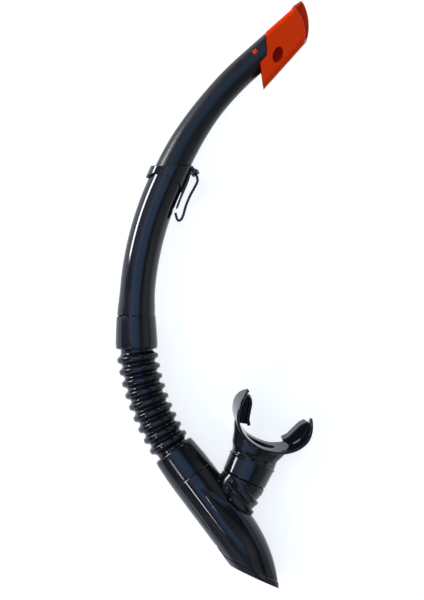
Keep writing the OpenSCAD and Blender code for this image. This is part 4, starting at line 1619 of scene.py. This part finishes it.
@dataclass
class Studio:
    """The pale floor, the soft surroundings, the strip lamps and the camera."""

    centre: Pair = (-2.6, -3.4)
    distance: float = 2.4
    frame_h: float = 0.441
    lift: float = 0.75
    floor_half: float = 3.0
    floor_z: float = -2e-4
    # Of each glow its direction, the cosines where it starts and where it is full, and its colour.
    glows: tuple[tuple[Triple, float, float, Triple], ...] = (
        ((0.0, 0.0, 1.0), -2.0, -1.5, (0.05, 0.055, 0.065)),
        ((-0.12, 0.0, 1.0), 0.8, 0.985, (0.5, 0.85, 1.5)),
        ((-0.75, 0.35, 0.6), 0.55, 0.98, (0.14, 0.2, 0.34)),
        ((1.0, -0.1, 0.15), 0.45, 1.0, (0.45, 0.46, 0.43)),
        ((-0.2, -1.0, 0.25), 0.6, 1.0, (0.6, 0.66, 0.75)),
    )

    def floor(self) -> None:
        """Lays the pale floor, which is brighter for the rays that show it as the background."""
        mesh = bpy.data.meshes.new("floor")
        s = self.floor_half
        corners = [(x, y, self.floor_z) for x, y in ((-s, -s), (s, -s), (s, s), (-s, s))]
        mesh.from_pydata(corners, [], [(0, 1, 2, 3)])
        obj = bpy.data.objects.new("floor", mesh)
        bpy.context.collection.objects.link(obj)
        material = bpy.data.materials.new("pale_floor")
        material.use_nodes = True
        wires = Wires(material.node_tree)
        rays = wires.add("ShaderNodeLightPath").outputs
        seen = rays["Is Camera Ray"]
        for name in ("Is Glossy Ray", "Is Transmission Ray"):
            both = wires.add("ShaderNodeMath", {0: seen, 1: rays[name]}, operation="ADD", use_clamp=True)
            seen = both.outputs[0]
        wires.fill(
            material.node_tree.nodes["Principled BSDF"],
            {
                "Base Color": (0.6, 0.6, 0.6, 1.0),
                "Roughness": 0.85,
                "Specular IOR Level": 0.1,
                "Emission Color": WHITE,
                "Emission Strength": wires.calc("MULTIPLY", seen, self.lift),
            },
        )
        mesh.materials.append(material)

    def world(self) -> None:
        """Makes the dim surroundings with their soft glows, which the camera sees as white."""
        world = bpy.data.worlds.new("studio")
        bpy.context.scene.world = world
        world.use_nodes = True
        wires = Wires(world.node_tree)
        where = wires.add("ShaderNodeTexCoord").outputs["Generated"]
        total: Socket | Triple = (0.0, 0.0, 0.0)
        for toward, low, high, color in self.glows:
            pair = {0: where, 1: Vector(toward).normalized()}
            dot = wires.add("ShaderNodeVectorMath", pair, operation="DOT_PRODUCT").outputs["Value"]
            limits = {"Value": dot, "From Min": low, "From Max": high}
            soft = wires.add("ShaderNodeMapRange", limits, interpolation_type="SMOOTHSTEP").outputs["Result"]
            patch = wires.add("ShaderNodeVectorMath", {0: color, "Scale": soft}, operation="SCALE")
            pair = {0: total, 1: patch.outputs["Vector"]}
            total = wires.add("ShaderNodeVectorMath", pair, operation="ADD").outputs["Vector"]
        camera = wires.add("ShaderNodeLightPath").outputs["Is Camera Ray"]
        seen = wires.add("ShaderNodeMix", {"Factor": camera, "A": total, "B": WHITE}, data_type="RGBA")
        wires.fill(world.node_tree.nodes["Background"], {"Color": seen.outputs["Result"]})

    def lamp(self, name: str, at: Triple, size: Pair, watts: float, color: Triple = WHITE[:3]) -> None:
        """Hangs an area lamp that points at the snorkel.

        Args:
            name: Name of the lamp.
            at: Its place in metres.
            size: Its width and height in metres.
            watts: Its power.
            color: Its colour.
        """
        light = bpy.data.lights.new(name, "AREA")
        light.shape = "RECTANGLE"
        light.size, light.size_y = size
        light.energy = watts
        light.color = color
        obj = bpy.data.objects.new(name, light)
        obj.location = at
        obj.rotation_euler = (-Vector(at)).to_track_quat("-Z", "Y").to_euler()
        bpy.context.collection.objects.link(obj)

    def camera(self) -> None:
        """Hangs the camera straight over the snorkel."""
        data = bpy.data.cameras.new("camera")
        data.sensor_fit = "VERTICAL"
        data.angle = 2 * math.atan(self.frame_h / 2 / self.distance)
        data.clip_end = 50.0
        obj = bpy.data.objects.new("camera", data)
        obj.location = (self.centre[0] * MM, self.centre[1] * MM, LEVEL * MM + self.distance)
        bpy.context.collection.objects.link(obj)
        bpy.context.scene.camera = obj

    def build(self) -> None:
        """Sets up the studio."""
        bpy.context.scene.view_settings.view_transform = "Standard"
        self.camera()
        self.floor()
        self.world()
        self.lamp("strip_left", (-1.45, 0.66, 0.2), (0.75, 0.3), 22.0)
        self.lamp("strip_edge", (-1.45, 0.62, 0.38), (0.6, 0.05), 2.0)
        self.lamp("box_low", (-0.9, -0.75, 1.1), (0.3, 0.1), 2.2)
        self.lamp("box_high", (-1.2, 0.9, 1.6), (1.8, 1.4), 4.0, (0.72, 0.86, 1.0))
        self.lamp("strip_top", (0.3, 1.6, 0.6), (0.8, 0.1), 4.0)
        self.lamp("fill_right", (1.5, 0.3, 1.3), (1.4, 1.2), 0.8)


def clear_scene() -> None:
    """Removes what a new file holds."""
    for obj in list(bpy.data.objects):
        bpy.data.objects.remove(obj)


def main() -> None:
    """Builds the snorkel and its studio."""
    logging.basicConfig(level=logging.INFO, format="%(message)s")
    clear_scene()
    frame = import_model()
    Studio().build()
    SplashGuard().build()
    Barrels().build()
    Keeper().build()
    Hose().build()
    Housing().build()
    Mouthpiece().build()
    InnerPieces().build(frame["nodes"])


if __name__ == "__main__":
    main()
